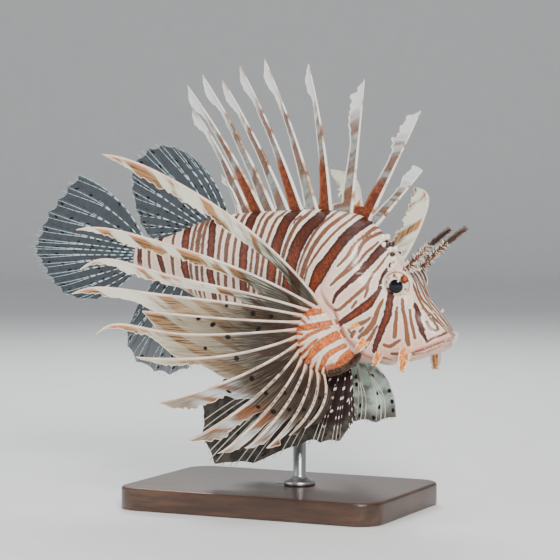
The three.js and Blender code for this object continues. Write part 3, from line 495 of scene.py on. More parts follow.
def wrap_eyes(points):
    """Draws the skin round both eyeballs as lids, and tucks it inside them where they are open."""
    for way in (-1, 1):
        out = points - np.array(EYE["at"]) * (1, way, 1)
        far = np.linalg.norm(out, axis=-1)
        turn = np.degrees(np.arccos(np.clip(np.sum(unit(out) * EYE_AXIS * (1, -way, 1), -1), -1, 1)))
        lid = EYE["radius"] + LID["edge"] - (LID["edge"] - LID["back"]) * smooth(turn, 75, 100)
        rim = LID["rim"] * bell(turn, EYE["opening"] + 4, 4) * (far < lid + 1.5)
        mix = smooth(turn, EYE["opening"] - 3, EYE["opening"] + 1.5)
        tucked = np.minimum(far, EYE["radius"] - LID["tuck"])
        new = tucked * (1 - mix) + (np.maximum(far, lid) + rim) * mix
        moved = np.array(EYE["at"]) * (1, way, 1) + unit(out) * new[..., None]
        points = np.where((far < EYE["radius"] + 3)[..., None], moved, points)
    return points


def lobe_points(turn, reach, face):
    """The pectoral fin's fleshy base on the right: round its rim, out from its middle, in from its face."""
    back = LOBE["back"] + LOBE["long"] * reach * np.cos(turn)
    up = LOBE["up"] + LOBE["high"] * reach * np.sin(turn)
    out = LOBE["out"] + LOBE["flare"] * (back - LOBE["back"]) + LOBE["crown"] * (1 - reach ** 2)
    thick = LOBE["rim"] + LOBE["depth"] * (1 - reach ** 2)
    return np.stack([back, -(out - face * thick), up], -1)


def skin_side(back, up):
    """How far to the side the skin is at a height, or nothing above or below the body."""
    level, square = body_widest(back), squareness(back)
    reach = np.where(up > level, body_top(back) - level, level - body_bottom(back))
    part = np.clip(np.abs(up - level) / reach, 0, 1)
    return body_half(back) * np.sqrt(1 - part ** (2 / square)) ** square


def fit_lobe(points, face):
    """Brings the front of the pectoral base in under the edge of the gill cover, with a ridge to each
    ray. The second result is how deep in a groove between the rays each point lies."""
    back, out, up = points[..., 0], -points[..., 1], points[..., 2]
    gill, _ = before_gill(back, up)
    body = skin_side(back, up)
    x, y = (back - LOBE["back"]) / LOBE["long"], (up - LOBE["up"]) / LOBE["high"]
    fan = (np.degrees(np.arctan2(y, x)) - RAY_FAN["from"]) / (RAY_FAN["to"] - RAY_FAN["from"])
    ray, reach = fan * (RAY_COUNT - 1), np.hypot(x, y)
    fanned = (ray > -0.5) * (ray < RAY_COUNT - 0.5)
    ridge = LOBE["ridge"] * np.cos(ray * pi) ** 2 * smooth(reach, 0.35, 0.95) * fanned
    ridge = ridge - LOBE["thin"] * smooth(reach, 0.5, 1.0)
    between = np.sin(ray * pi) ** 2 * fanned + smooth(ray, RAY_COUNT - 1, RAY_COUNT)
    deeper = smooth(reach, 0.74, 0.92) * smooth(ray, 4, 8)
    groove = between * 0.5 * (smooth(reach, 0.55, 0.75) + deeper)
    outer = np.where(out > body, body + (out - body) * smooth(gill, -0.5, -15), out)
    outer = outer - 1.6 * smooth(gill, -1.2, 0.8) + ridge - 0.45
    return np.stack([back, -(outer * (1 - face) + out * face), up], -1), groove


def make_skin(material):
    skin = Shape("band", "thin", "orange", "gill", "back", "up", "under", "mouth", "groove")
    body_rows = np.concatenate([[3.2, 3.5, 3.9], np.arange(4.5, 62, 0.75),
                                np.arange(62, BODY_LENGTH, 1.15), [BODY_LENGTH]])
    turn = circle(256)
    rows = body_points(body_rows[:, None], turn)
    middle = rows[0].mean(0)
    nose = []
    for lean in np.linspace(pi / 2, 0, 9)[:-1]:
        ring = middle + (rows[0] - middle) * (cos(lean) * 0.999 + 0.001)
        ring[:, 0] = BODY[0, 0] - 1.2 * sin(lean)
        nose.append(ring)
    end = [rows[-1] * (1, k, k) + (0.6 * (1 - k), 0, 0) for k in (0.9, 0.5, 0.01)]
    rows = np.concatenate([nose, rows, end])
    normal = unit(np.cross(np.gradient(rows, axis=0), np.roll(rows, -1, 1) - np.roll(rows, 1, 1)))
    normal *= np.sign(np.sum(normal * (rows - rows.mean(1, keepdims=True)), -1, keepdims=True))
    normal[:9] = unit(normal[:9] + (-0.6, 0, 0))
    rows = wrap_eyes(rows + normal * skin_detail(rows)[..., None])
    back, side, up = np.moveaxis(rows, -1, 0)
    band, thin, _, gill = markings(back, up)
    roof = smooth(np.cos(turn), 0.7, 0.84) * smooth(back, 36.5, 33.5)
    mouth, along, _ = trace(path_through(MOUTH, 30), back, up)
    skin.grid(rows, wrap=True, flip=True, band=band * (1 - roof) + FAR_OFF * roof,
              thin=thin * (1 - roof) + roof_lines(back, side) * roof, orange=FAR_OFF, gill=gill, back=back,
              up=up, under=(up - body_bottom(back)) / 40, mouth=mouth + 3 * smooth(along, 0.9, 1.0))

    profile = [(r, 0.0) for r in np.linspace(0.01, 0.9, 40)]
    profile += [(0.9 + 0.1 * sin(pi * f), f) for f in np.linspace(0, 1, 9)[1:-1]]
    profile += [(r, 1.0) for r in np.linspace(0.9, 0.5, 6)]
    reach, face = np.transpose(profile)[..., None]
    lobe, groove = fit_lobe(lobe_points(circle(240), reach, face), smooth(face, 0, 1))
    back, _, up = np.moveaxis(lobe, -1, 0)
    _, _, orange, gill = markings(back, up)
    for way in (1, -1):
        skin.grid(lobe * (1, way, 1), wrap=True, flip=way < 0, band=FAR_OFF, thin=FAR_OFF, orange=orange,
                  gill=np.minimum(gill, -2.5), back=back, up=up, under=1.0, mouth=FAR_OFF, groove=groove)
    skin.build("skin", material, "skin", "head", "lower_jaw", "trunk", "tail_stem", "pectoral_base_right",
               "pectoral_base_left")


def make_eye(name, way, material):
    """An eyeball with a slight bulge over the pupil. way is -1 for the right eye."""
    eye = Shape("polar", "across", "upward")
    axis = EYE_AXIS * (1, -way, 1)
    top = unit(np.array([0.0, 0.0, 1.0]) - axis * axis[2])
    front = np.cross(axis, top)
    polar = np.radians(np.linspace(0.3, 140, 90))[:, None]
    radius = EYE["radius"] * (0.988 + 0.045 * bell(polar, 0, 0.62))
    across, upward = np.sin(polar) * np.cos(circle(72)), np.sin(polar) * np.sin(circle(72))
    points = axis * np.cos(polar)[..., None] + front * across[..., None] + top * upward[..., None]
    eye.grid(np.array(EYE["at"]) * (1, way, 1) + points * radius[..., None], wrap=True,
             polar=np.degrees(polar), across=across * np.sign(-front[0]), upward=upward)
    eye.build(name + "_ball", material, "eye", name)


# Fins of the middle plane

def spine_frame(index):
    """A spine's root, the directions along and behind it, and its length."""
    back, length, lean = SPINES[index]
    lean = radians(lean)
    root = np.array([back, 0, body_top(back) + 0.8])
    return root, np.array([-cos(lean), 0, sin(lean)]), np.array([sin(lean), 0, cos(lean)]), length


def spine_point(index, r):
    """A point of a spine's shaft r from its root, bowed and leant a little to one side."""
    root, along, across, length = spine_frame(index)
    u = np.clip(r / length, 0, 1)
    bow = SPINE["bow"] if index > 2 else 0.0
    point = root + along * r[..., None] - across * (bow * 4 * u * (1 - u))[..., None]
    point[..., 1] += (SPINE["lean"] if index % 2 else -SPINE["lean"]) * np.maximum(r - 4.2, 0)
    return point


def make_spiny_dorsal(shaft_material, web_material):
    shafts = Shape("reach", "index")
    webs = Shape("reach", "across", "index", "band")
    share = np.linspace(0, 1, 9)
    for i in range(len(SPINES)):
        _, along, across, length = spine_frame(i)
        r = np.linspace(-5, length, 60)
        u = np.clip(r / length, 0, 1)
        thick = SPINE["root"] + (SPINE["tip"] - SPINE["root"]) * u
        thick = thick * np.where(u > 0.97, 0.7, 1) * np.where(u >= 1, 0.15, 1)
        shafts.grid(tube(spine_point(i, r), thick, 10), wrap=True, reach=u[:, None], index=i)

        r = np.linspace(-2, length, 90)
        u = np.clip(r / length, 0, 1)
        flagged = i < 3
        at, widths = np.transpose(STUMP_WEB if i == 0 else FLAG_WEB if flagged else LANCE_WEB)
        wide = curve_through(at, widths)(u) * (0.5 if length < 40 else 1)
        ragged = smooth(u, 0.45, 0.8) * (0.26 if flagged else 0.12)
        wide = wide * (1 + ragged * wobble(40 + i, r + 4, 1.7)) + 0.1 * wobble(80 + i, r + 4, 5)
        if flagged:
            notch = smooth(wobble(60 + i, r + 4, 4.4, 0, 1), 0.6, 0.9)
            wide = wide * (1 - 0.38 * notch * smooth(u, 0.62, 0.72))
        if i + 1 < len(SPINES):
            to_next = np.linalg.norm(spine_point(i + 1, r * 0) - spine_point(i, r * 0), axis=-1)
            wide = np.maximum(wide, (to_next + 0.5) * smooth(r, 7.5, 2.0))
        u, r = u[:, None], r[:, None]
        sag = -SPINE["sag"] * share ** 2 * smooth(u, 0.02, 0.2)
        points = spine_point(i, r) + across * (wide[:, None] * share)[..., None] + along * sag[..., None]
        points[..., 1] += SPINE["flutter"] * np.sin(r / 8 + i * 1.7) * share * smooth(u, 0.1, 0.5)
        points[..., 1] += 0.35 * bell(share, 0.5, 0.3)
        band = (u - BANDED_SPINES[i]) * length / 4 if i in BANDED_SPINES else FAR_OFF
        webs.grid(points, reach=u, across=share, index=i, band=band)
    shafts.build("dorsal_spines", shaft_material, "banded_fin", "spiny_dorsal_fin")
    webs.build("dorsal_webs", web_material, "banded_fin")


def make_soft_fin(name, fan, ray_material, web_material, count, seed, side=None, way=1):
    """A fan of branched rays in a thin web. side is its sideways place r from the root. Such a fin has
    thicker rays in more branches, and an outer and an inner face."""
    root_from, root_to, lengths, angles, bows = fan
    length_at, angle_at = even_curve(lengths), even_curve(angles)
    bow_at = even_curve(bows + [0] * (len(lengths) - len(bows)))
    sign = 1 if angles[0] > angles[-1] else -1
    last, slot = count - 1, "dark_fin" if side else "clear_fin"
    branch, tip = (5, 0.26) if side else (3, 0.1)

    def point(share, u):
        share, u = np.broadcast_arrays(np.asarray(share, float), np.asarray(u, float))
        turn = np.radians(angle_at(share))
        r, bow = u * length_at(share), sign * bow_at(share) * 4 * u * (1 - u)
        back = root_from[0] * (1 - share) + root_to[0] * share + np.cos(turn) * r - np.sin(turn) * bow
        up = root_from[1] * (1 - share) + root_to[1] * share + np.sin(turn) * r + np.cos(turn) * bow
        out = way * side(r) if side else 0.7 * np.sin(share * 9 + seed) * np.maximum(u, 0) ** 1.5
        return np.stack([back, out, up], -1)

    webs = Shape("reach", "across", "share", "spot", "inner")
    rays = Shape("reach", "share", "inner")
    rng = np.random.default_rng(seed)
    spots = [(k, u + rng.uniform(-0.03, 0.03)) for k in range(count) for u in np.arange(0.16, 0.97, 0.155)
             if rng.random() < 0.82]
    share, u = np.linspace(0, 1, 14 * last + 1), np.linspace(-0.06, 1, 120)[:, None]
    across = share * last
    fringe = 1 - 0.036 * np.abs(np.sin(across % 1 * pi)) - 0.01 * wobble(seed, share * 100, 2.2, 0, 1)
    points = point(share, u * fringe)
    points[..., 1] += 0.3 * np.sin(across % 1 * 2 * pi) * smooth(u, 0.1, 0.6) * way
    spot = np.full(points.shape[:2], FAR_OFF)
    for k, where in spots:
        following = min(k + 1, last)
        gap = np.linalg.norm(point(following / last, where) - point((following - 1) / last, where))
        wide = (across - k - 0.14 * rng.choice([-1, 1])) * gap
        spot = np.minimum(spot, np.hypot((u - where) * length_at(k / last) * 0.8, wide))
    for shift, inner in ((-0.22, 0.0), (0.22, 1.0)) if side else ((0.0, 0.0),):
        webs.grid(points + (0, shift * way, 0), reach=u, across=across, share=share, spot=spot, inner=inner)
    for k in range(count):
        fork = (0.12 if side else 0.34) + 0.1 * rng.random()
        length = length_at(k / last)
        for b in range(branch):
            offset = (b - (branch - 1) / 2) * (0.86 if side else 0.66) / (branch - 1) / last
            along = np.linspace(fork if b else -0.05, rng.uniform(0.97, 1.01 if side else 1.035),
                                15 if b else 22)
            spread = smooth(along, fork - 0.02, 0.7 if side else 0.95) * offset
            thick = np.interp(along, [0, fork, 1.03], [0.5, 0.26 + 0.5 * tip, tip]) * (length / 60) ** 0.3
            rays.grid(tube(point(np.clip(k / last + spread, 0, 1), along), thick, 6), wrap=True,
                      reach=(along * length / 10)[:, None], share=k / last,
                      inner=0.5 + 0.5 * way * np.cos(np.arange(6) / 3 * pi))
    webs.build(name + "_web", web_material, slot, name)
    rays.build(name + "_rays", ray_material, slot)


# Pectoral fins

def ray_point(rays, i, r):
    """A point r along a pectoral ray of the right side."""
    at = RAY_FAN["from"] + (RAY_FAN["to"] - RAY_FAN["from"]) * i / (RAY_COUNT - 1)
    root = lobe_points(radians(at), RAY_FAN["inset"], 0.5)
    turn, rise = radians(rays["turn"][i]), radians(rays["rise"][i])
    along = np.array([cos(turn) * cos(rise), -sin(turn) * cos(rise), sin(rise)])
    lift = unit(np.array([0, 0, 1]) - along * along[2])
    forward = np.array([-sin(turn), -cos(turn), 0])
    u = r / rays["length"][i]
    middle, late = 4 * u * (1 - u), np.maximum(u, 0) ** 6
    last = 4 * late * (1 - late)
    risen = rays["bow"][i] * middle + rays["hook"][i] * last
    swept = rays["sweep"][i] * middle + rays["curl"][i] * last
    return root + along * r[..., None] + lift * risen[..., None] + forward * swept[..., None]


def make_pectoral(name, rays, ray_material, web_material, way):
    """Each ray is a round shaft with a blade behind it, which nearer the body is the web to the next
    ray. way is -1 for the right fin, as modelled."""
    webs = Shape("reach", "across", "index", "spot", "edge")
    shafts = Shape("reach", "index")
    mirror = (1, -way, 1)
    share = np.linspace(0, 1, 17)[:, None]
    margin = np.linspace(0, 1, 3)
    for i, length in enumerate(rays["length"]):
        r = np.linspace(-4, length, int(length / 2.5))
        thick = np.interp(np.clip(r / length, 0, 1), [0, 0.08, 0.5, 0.9, 1], [1.35, 0.85, 0.55, 0.32, 0.1])
        thick = thick * (0.6 + 0.28 * min(length / 100, 1))
        shafts.grid(tube(ray_point(rays, i, r), thick) * mirror, wrap=True, reach=r[:, None], index=i)

        r = np.linspace(-2.5, length, int(length / 0.7))
        u = np.clip(r / length, 0, 1)
        following, outermost = min(i + 1, RAY_COUNT - 1), i == RAY_COUNT - 1
        before, here, there = (ray_point(rays, k, r) for k in (max(i - 1, 0), i, following))
        along = unit(np.gradient(here, axis=0))
        across = there - before
        across = unit(across - along * np.sum(across * along, -1, keepdims=True))
        taper = np.clip((1 - u) / rays["taper"][i], 0, 1)
        blade = taper ** (0.7 if rays["taper"][i] > 0.1 else 0.5)
        blade = rays["blade"][i] * np.minimum(0.45 + 1.3 * u, 1) * blade
        ragged = 0.16 * wobble(100 + i, r + 4, 1.6) + 0.12 * wobble(130 + i, r + 4, 4.5)
        blade = np.maximum(blade * (1 + ragged * smooth(u, 0.25, 0.6)), 0.15)
        if outermost:
            free, sag = smooth(r, 4, 12), 0 * r
            across = unit(here - before)
        else:
            gap = np.linalg.norm(there - here, axis=-1)
            web = min(WEB_REACH[i], rays["length"][following] * 0.96)
            free, sag = smooth(r, web - 7, web + 5 + 0.05 * length), 0.05 * gap * smooth(r, 10, 30)
        if i > 6:
            blade = blade * 1.2
        if not outermost:
            blade = np.minimum(blade, (0.46 if i < 6 else 0.62) * gap + 20 * smooth(u, 0.85, 1.0))
        face = np.cross(along, across)[:, None]
        here, there, across = here[:, None], there[:, None], across[:, None]
        r, blade, free, sag = r[:, None], blade[:, None, None], free[:, None, None], sag[:, None, None]
        webbed = here * (1 - share) + there * share + face * (sag * np.sin(share * pi))
        curl = 0.14 * blade * share ** 2 * np.sin(r / 17 + i * 2)[..., None]
        sheet = webbed * (1 - free) + (here + across * (blade * share) + face * curl) * free
        wide = np.linalg.norm(sheet[:, -1] - sheet[:, 0], axis=-1)[:, None]
        at = share[:, 0]
        spot = np.full(sheet.shape[:2], FAR_OFF)
        for ray, out, place, size in FIN_SPOTS:
            if ray == i:
                away = np.hypot(r - out * length / RIGHT_RAYS["length"][i], (at - place) * wide)
                spot = np.minimum(spot, away - size)
        webs.grid(sheet * mirror, reach=r, across=at * wide, index=i + at * 0.6, spot=spot,
                  edge=(1 - at) * wide)
        # A strip in front of each ray's shaft, which carries the painted highlight along the ray's front
        # edge.
        lead = here - across * (0.5 * taper + 0.3)[:, None, None] * margin[:, None]
        webs.grid(lead * mirror, reach=r, across=0.3 * margin, index=i, spot=FAR_OFF,
                  edge=0.4 * (1 - margin))
    shafts.build(name + "_rays", ray_material, "banded_fin")
    webs.build(name + "_web", web_material, "banded_fin", name)


# Feelers

def add_spike(shape, mirror, base, away, radius, bend=(0, 0, 0), lit=1.0, sides=5):
    """A small pointed finger of skin from base."""
    t = np.array([0, 0.35, 0.7, 1.0])[:, None]
    path = (base + away * t) * mirror + np.asarray(bend) * (t * (1 - t) * 4)
    grid = tube(path, radius * np.array([1, 0.85, 0.5, 0.08]), sides, (1.0, 0.3, 0.2))
    shape.grid(grid, wrap=True, shared=True, reach=t, lit=lit)


def make_tentacle(name, way, material):
    """The feathery tentacle over an eye: a shaft with pale papillae, then a dark feather."""
    shape = Shape("reach", "lit")
    rng = np.random.default_rng(7)
    start, stop = np.array([36.5, 12.6, 31.0]), np.array([11.8, 14.0, 64.6])
    along = unit(stop - start)
    across = unit(np.array([0.78, 0, 0.62]) - along * np.dot(along, [0.78, 0, 0.62]))
    out = np.cross(along, across)
    mirror = (1, way, 1)

    def centre(u):
        return start + (stop - start) * u + across * 6 * u * (1 - u)

    def feather(u):
        return np.interp(u, [0.5, 0.62, 0.76, 0.9, 0.97, 1], [0.4, 0.7, 0.9, 0.7, 0.4, 0.15])

    u = np.linspace(0, 1, 46)[:, None]
    thick = np.interp(u[:, 0], [0, 0.1, 0.55, 0.7, 1], [2.1, 1.6, 1.15, 0.6, 0.12])
    shape.grid(tube(centre(u), thick, 10) * mirror, wrap=True, reach=u, lit=0.25)
    u = np.linspace(0.5, 1, 40)[:, None]
    share = np.linspace(-1, 1, 9)[:, None]
    leaf = centre(u)[:, None] + across * share * feather(u)[:, None] + out * 0.5 * share ** 2
    shape.grid(leaf * mirror, reach=u, lit=0.0)
    for _ in range(260):
        u, turn = rng.uniform(0.02, 0.62), rng.uniform(0, 2 * pi)
        away = unit(across * cos(turn) + out * sin(turn) * 0.7 + along * rng.uniform(0.1, 0.7))
        long = rng.uniform(1.6, 4.6) * (1 - 0.5 * u) + 0.7
        add_spike(shape, mirror, centre(u), away * long, rng.uniform(0.34, 0.6), rng.normal(0, 0.4, 3),
                  rng.choice([0.05, 0.6, 1.0]))
    for u in np.linspace(0.56, 0.985, 44):
        for flank in (-1, 1):
            away = (across * flank * 0.8 + along * 0.9) * rng.uniform(1.2, 2.6)
            add_spike(shape, mirror, centre(u) + across * flank * feather(u) * 0.7, away, 0.17, lit=0.05)
    shape.build(name + "_skin", material, "feeler", name)


def add_frond(shape, rng, mirror, root, tip, width, fringes=20):
    """A fringed leaf of skin hanging from root to tip."""
    root, length = np.array(root), np.subtract(tip, root)
    along = unit(length)
    across = unit(np.cross(along, [0.2, -1.0, 0.1]))
    out = np.cross(along, across)
    u, share = np.linspace(0, 1, 14)[:, None], np.linspace(-1, 1, 7)[:, None]
    half = np.interp(u, [0, 0.3, 0.7, 0.92, 1], [0.6, 1.0, 1.0, 0.6, 0.1])[..., None] * width
    leaf = (root + length * u)[:, None] + across * share * half
    leaf = leaf + out * 0.35 * width * (share ** 2 + np.sin(u * 5)[..., None] * 0.5)
    shape.grid(leaf * mirror, lit=np.abs(share[:, 0]) ** 3)
    ridge = tube(root + length * u + out * 0.1, width * np.linspace(0.4, 0.12, 14), 7)
    shape.grid(ridge * mirror, wrap=True, lit=0.1)
    for k in range(fringes):
        t, flank = (k // 2 + 0.5) / (fringes / 2), 1 if k % 2 else -1
        base = root + length * t + across * flank * width * 0.75 * (1 - 0.5 * t * t)
        away = unit(across * flank * rng.uniform(0.5, 1.0) + along * rng.uniform(0.3, 0.9)
                    + out * rng.uniform(-0.5, 0.5))
        long = rng.uniform(0.5, 1.0) * width * (1.1 - 0.4 * t)
        add_spike(shape, mirror, base, away * long, width * 0.23, rng.normal(0, 0.15, 3),
                  rng.uniform(0.8, 1.0))


def make_frond(name, way, back, material):
    shape = Shape("lit")
    add_frond(shape, np.random.default_rng(11), (1, way, 1), [back, 15.0, -9.5], [back - 2.2, 19.6, -25.5],
              3.2, 40)
    shape.build(name + "_skin", material, "feeler", name)


def make_bristles(material):
    """Leaves on the cheeks and at the nostrils, knobs and papillae of the nape and brows, and pale
    bristles round the lips."""
    shape = Shape("lit")
    rng = np.random.default_rng(5)
    lip = path_through([[-1.6, -1.2], [0.6, -1.8], [7, -5.9], [14, -10.4], [21, -14.6]], 60)
    for mirror in ((1, -1, 1), (1, 1, 1)):
        for root, tip, width in CHEEK_LEAVES:
            add_frond(shape, rng, mirror, root, tip, width)
        for back, turn, size, lit in NAPE_KNOBS:
            up = np.linspace(-0.8, 1.5, 9)[:, None]
            path = body_points(np.array(back), turn) + unit(np.array([-0.35, 0.45, 0.85])) * up * size
            shape.grid(tube(path, size * KNOB_PROFILE, 12) * mirror, wrap=True, lit=lit)
        for k, back in enumerate(np.linspace(31, 47, 40)):
            base = body_points(back, rng.uniform(0.45, 0.95))
            rise = np.array([rng.uniform(-0.7, 0.3), rng.uniform(0.0, 0.8), 1.0]) * rng.uniform(1.3, 2.8)
            add_spike(shape, mirror, base - rise * 0.3, rise * 1.3, rng.uniform(0.6, 1.0),
                      rng.normal(0, 0.3, 3), 1.0 if k % 4 else -1.0, 6)
        for lean in (-0.9, 0.0, 0.9):
            away = np.array([lean - 1.6, 1.4, 4.6 - abs(lean)])
            add_spike(shape, mirror, np.array([15.4, 7.4, 9.8]), away, 0.5)
        for _ in range(84):
            k = int(rng.integers(0, 60) * rng.uniform(0.3, 1.0))
            back, up = lip[k]
            lift = rng.uniform(-3.0, 3.4)
            here = max(back + 0.3 * abs(lift), 3.4)
            level, high = body_widest(here), up + lift
            reach = body_top(here) - level if high > level else level - body_bottom(here)
            part = min(abs(high - level) / max(reach, 0.1), 0.97)
            wide = body_half(here) * (1 - part ** 2.3) ** 0.45 + 0.5
            base = np.array([here, wide * (0.2 if k < 5 and rng.random() < 0.5 else 1.0), high])
            away = np.array([-0.9 if back < 6 else -0.3, 0.8, 0.3 * np.sign(lift)])
            away = unit(away + rng.normal(0, 0.3, 3))
            long = rng.uniform(1.2, 2.3) + (1.0 if back < 3 else 0)
            add_spike(shape, mirror, base - away * 0.6, away * (long + 0.6), 0.24, rng.normal(0, 0.15, 3))
    shape.build("bristles", material, "feeler")


# Display stand

def plain(points):
    return points * MM


def base_ring(inset, z, shrink=1.0):
    """A ring round the base, inset from its edge, with its corners' arcs and points along its sides."""
    r, corner = STAND["corner"] - inset, STAND["corner"]
    x, y = STAND["length"] / 2 - corner, STAND["width"] / 2 - corner
    arcs = []
    for k, (sx, sy) in enumerate(((1, 1), (-1, 1), (-1, -1), (1, -1))):
        turn = np.linspace(0, pi / 2, 9) + k * pi / 2
        arcs.append(np.stack([sx * x + r * np.cos(turn), sy * y + r * np.sin(turn)], -1))
    ring = []
    for arc, following in zip(arcs, arcs[1:] + arcs[:1]):
        ring += [arc, arc[-1] + (following[0] - arc[-1]) * np.array([[0.25], [0.5], [0.75]])]
    ring = np.concatenate(ring) * shrink
    return np.column_stack([ring, np.full(len(ring), z)])


def make_stand(wood, steel):
    soft, top = STAND["soft"], STAND["thick"]
    rows = [base_ring(0, 0, 0.02), base_ring(soft, 0)]
    rows += [base_ring(soft * (1 - sin(t)), soft * (1 - cos(t))) for t in np.linspace(0.2, pi / 2, 5)]
    rows += [base_ring(soft * (1 - cos(t)), top - soft * (1 - sin(t))) for t in np.linspace(0, pi / 2, 7)]
    rows += [base_ring(soft + 3, top), base_ring(soft, top, 0.5), base_ring(0, top, 0.02)]
    base = Shape(place=plain)
    base.grid(rows, wrap=True)
    base.build("stand_base_board", wood, "stand_base", "stand_base")
    foot, radius, collar, belly = ROD["foot"], ROD["radius"], ROD["collar"], ROD["belly"]
    profile = [(0.05, foot), (collar - 0.4, foot), (collar, foot + 0.4), (collar, foot + 2.1),
               (collar - 0.4, foot + 2.5), (radius + 2.6, foot + 3.4), (radius + 0.9, foot + 4.6),
               (radius, foot + 6.4), (radius, belly), (0.05, belly)]
    rod = Shape(place=plain)
    rod.grid([[(ROD["x"] + r * cos(t), r * sin(t), z) for t in circle(48)] for r, z in profile], wrap=True)
    rod.build("stand_rod_steel", steel, "stand_rod", "stand_rod")


# Materials

# The node tree that the functions below add to
tree = None


class Value:
    """What a node puts out. Sums with it make the nodes that work them out."""

    def __init__(self, socket):
        self.socket = socket

    __add__ = __radd__ = lambda a, b: maths("ADD", a, b)
    __mul__ = __rmul__ = lambda a, b: maths("MULTIPLY", a, b)
    __sub__ = lambda a, b: maths("SUBTRACT", a, b)
    __rsub__ = lambda a, b: maths("SUBTRACT", b, a)
    __pow__ = lambda a, b: maths("POWER", a, b)
    __abs__ = lambda a: maths("ABSOLUTE", a)


def put(socket, value):
    """Sets an input to a node's value, a colour as a screen shows it, or a plain number."""
    if isinstance(value, Value):
        tree.links.new(value.socket, socket)
    elif isinstance(value, str):
        screen = [int(value[k:k + 2], 16) / 255 for k in (1, 3, 5)]
        linear = [c / 12.92 if c < 0.0408 else ((c + 0.055) / 1.055) ** 2.4 for c in screen]
        socket.default_value = linear + [1]
    elif value is not None:
        socket.default_value = value


def node(kind, *inputs, out=0, **named):
    """A new node's output. inputs are its first ones in order, and named are others or settings."""
    made = tree.nodes.new("ShaderNode" + kind)
    for key, value in named.items():
        if key not in made.inputs:
            setattr(made, key, value)
    for socket, value in zip(made.inputs, inputs):
        put(socket, value)
    for key, value in named.items():
        if key in made.inputs:
            put(made.inputs[key], value)
    return Value(made.outputs[out])


def maths(operation, a, b=0.0):
    return node("Math", a, b, operation=operation)


def field(*names):
    found = [node("Attribute", attribute_name=name, out="Fac") for name in names]
    return found if len(names) > 1 else found[0]


def object_place():
    return node("TexCoord", out="Object")


def vector(x, y, z=0.0):
    return node("CombineXYZ", x, y, z)


def stretched(scale):
    return node("Mapping", object_place(), Scale=scale)


def noise_at(place, scale, detail=2.0, rough=0.5):
    return node("TexNoise", place, Scale=scale, Detail=detail, Roughness=rough, out="Fac")


def noise(scale, detail=2.0, rough=0.5):
    return noise_at(object_place(), scale, detail, rough)


def cells(place, scale):
    return node("TexVoronoi", place, Scale=scale, out="Distance")


def step(value, low, high):
    """0 at low and 1 at high, smoothly."""
    return node("MapRange", value, low, high, 0.0, 1.0, interpolation_type="SMOOTHSTEP")


def mix(amount, a, b):
    return node("Mix", amount, *[None] * 5, a, b, data_type="RGBA", out=2)


def paint(color, *layers):
    """A colour under layers, each with where it lies and its own colour."""
    for amount, layer in layers:
        color = mix(amount, color, layer)
    return color


def surface(color, rough, height=None, bump=0.3, alpha=1.0, coat=0.3, metal=0.0, shine=0.5):
    """Joins the finished look of a surface, with relief from height, to the material's output."""
    normal = node("Bump", Strength=bump, Distance=0.0006, Height=height) if height else None
    shader = node("BsdfPrincipled", **{
        "Base Color": color, "Roughness": rough, "Metallic": metal, "Coat Weight": coat, "Alpha": alpha,
        "Coat Roughness": 0.16, "Specular IOR Level": shine, "Normal": normal})
    tree.links.new(shader.socket, tree.nodes.new("ShaderNodeOutputMaterial").inputs["Surface"])


def material(name, look):
    global tree
    made = bpy.data.materials.new(name)
    made.use_nodes = True
    tree = made.node_tree
    tree.nodes.clear()
    look()
    return made


def skin_group():
    """Fine skin: a mottle for colour, and scales and pores for relief."""
    global tree
    tree = bpy.data.node_groups.new("fine_skin", "ShaderNodeTree")
    for name in ("Mottle", "Relief"):
        tree.interface.new_socket(name, in_out="OUTPUT", socket_type="NodeSocketFloat")
    scales = cells(object_place(), 900)
    out = tree.nodes.new("NodeGroupOutput")
    put(out.inputs["Mottle"], noise(420, 4, 0.7) * 0.7 + scales * 0.4)
    put(out.inputs["Relief"], scales * -0.7 + noise(1500) * 0.5)
    return tree


def group(inner):
    """A node group's outputs, placed in the material."""
    made = tree.nodes.new("ShaderNodeGroup")
    made.node_tree = inner
    return [Value(out) for out in made.outputs]


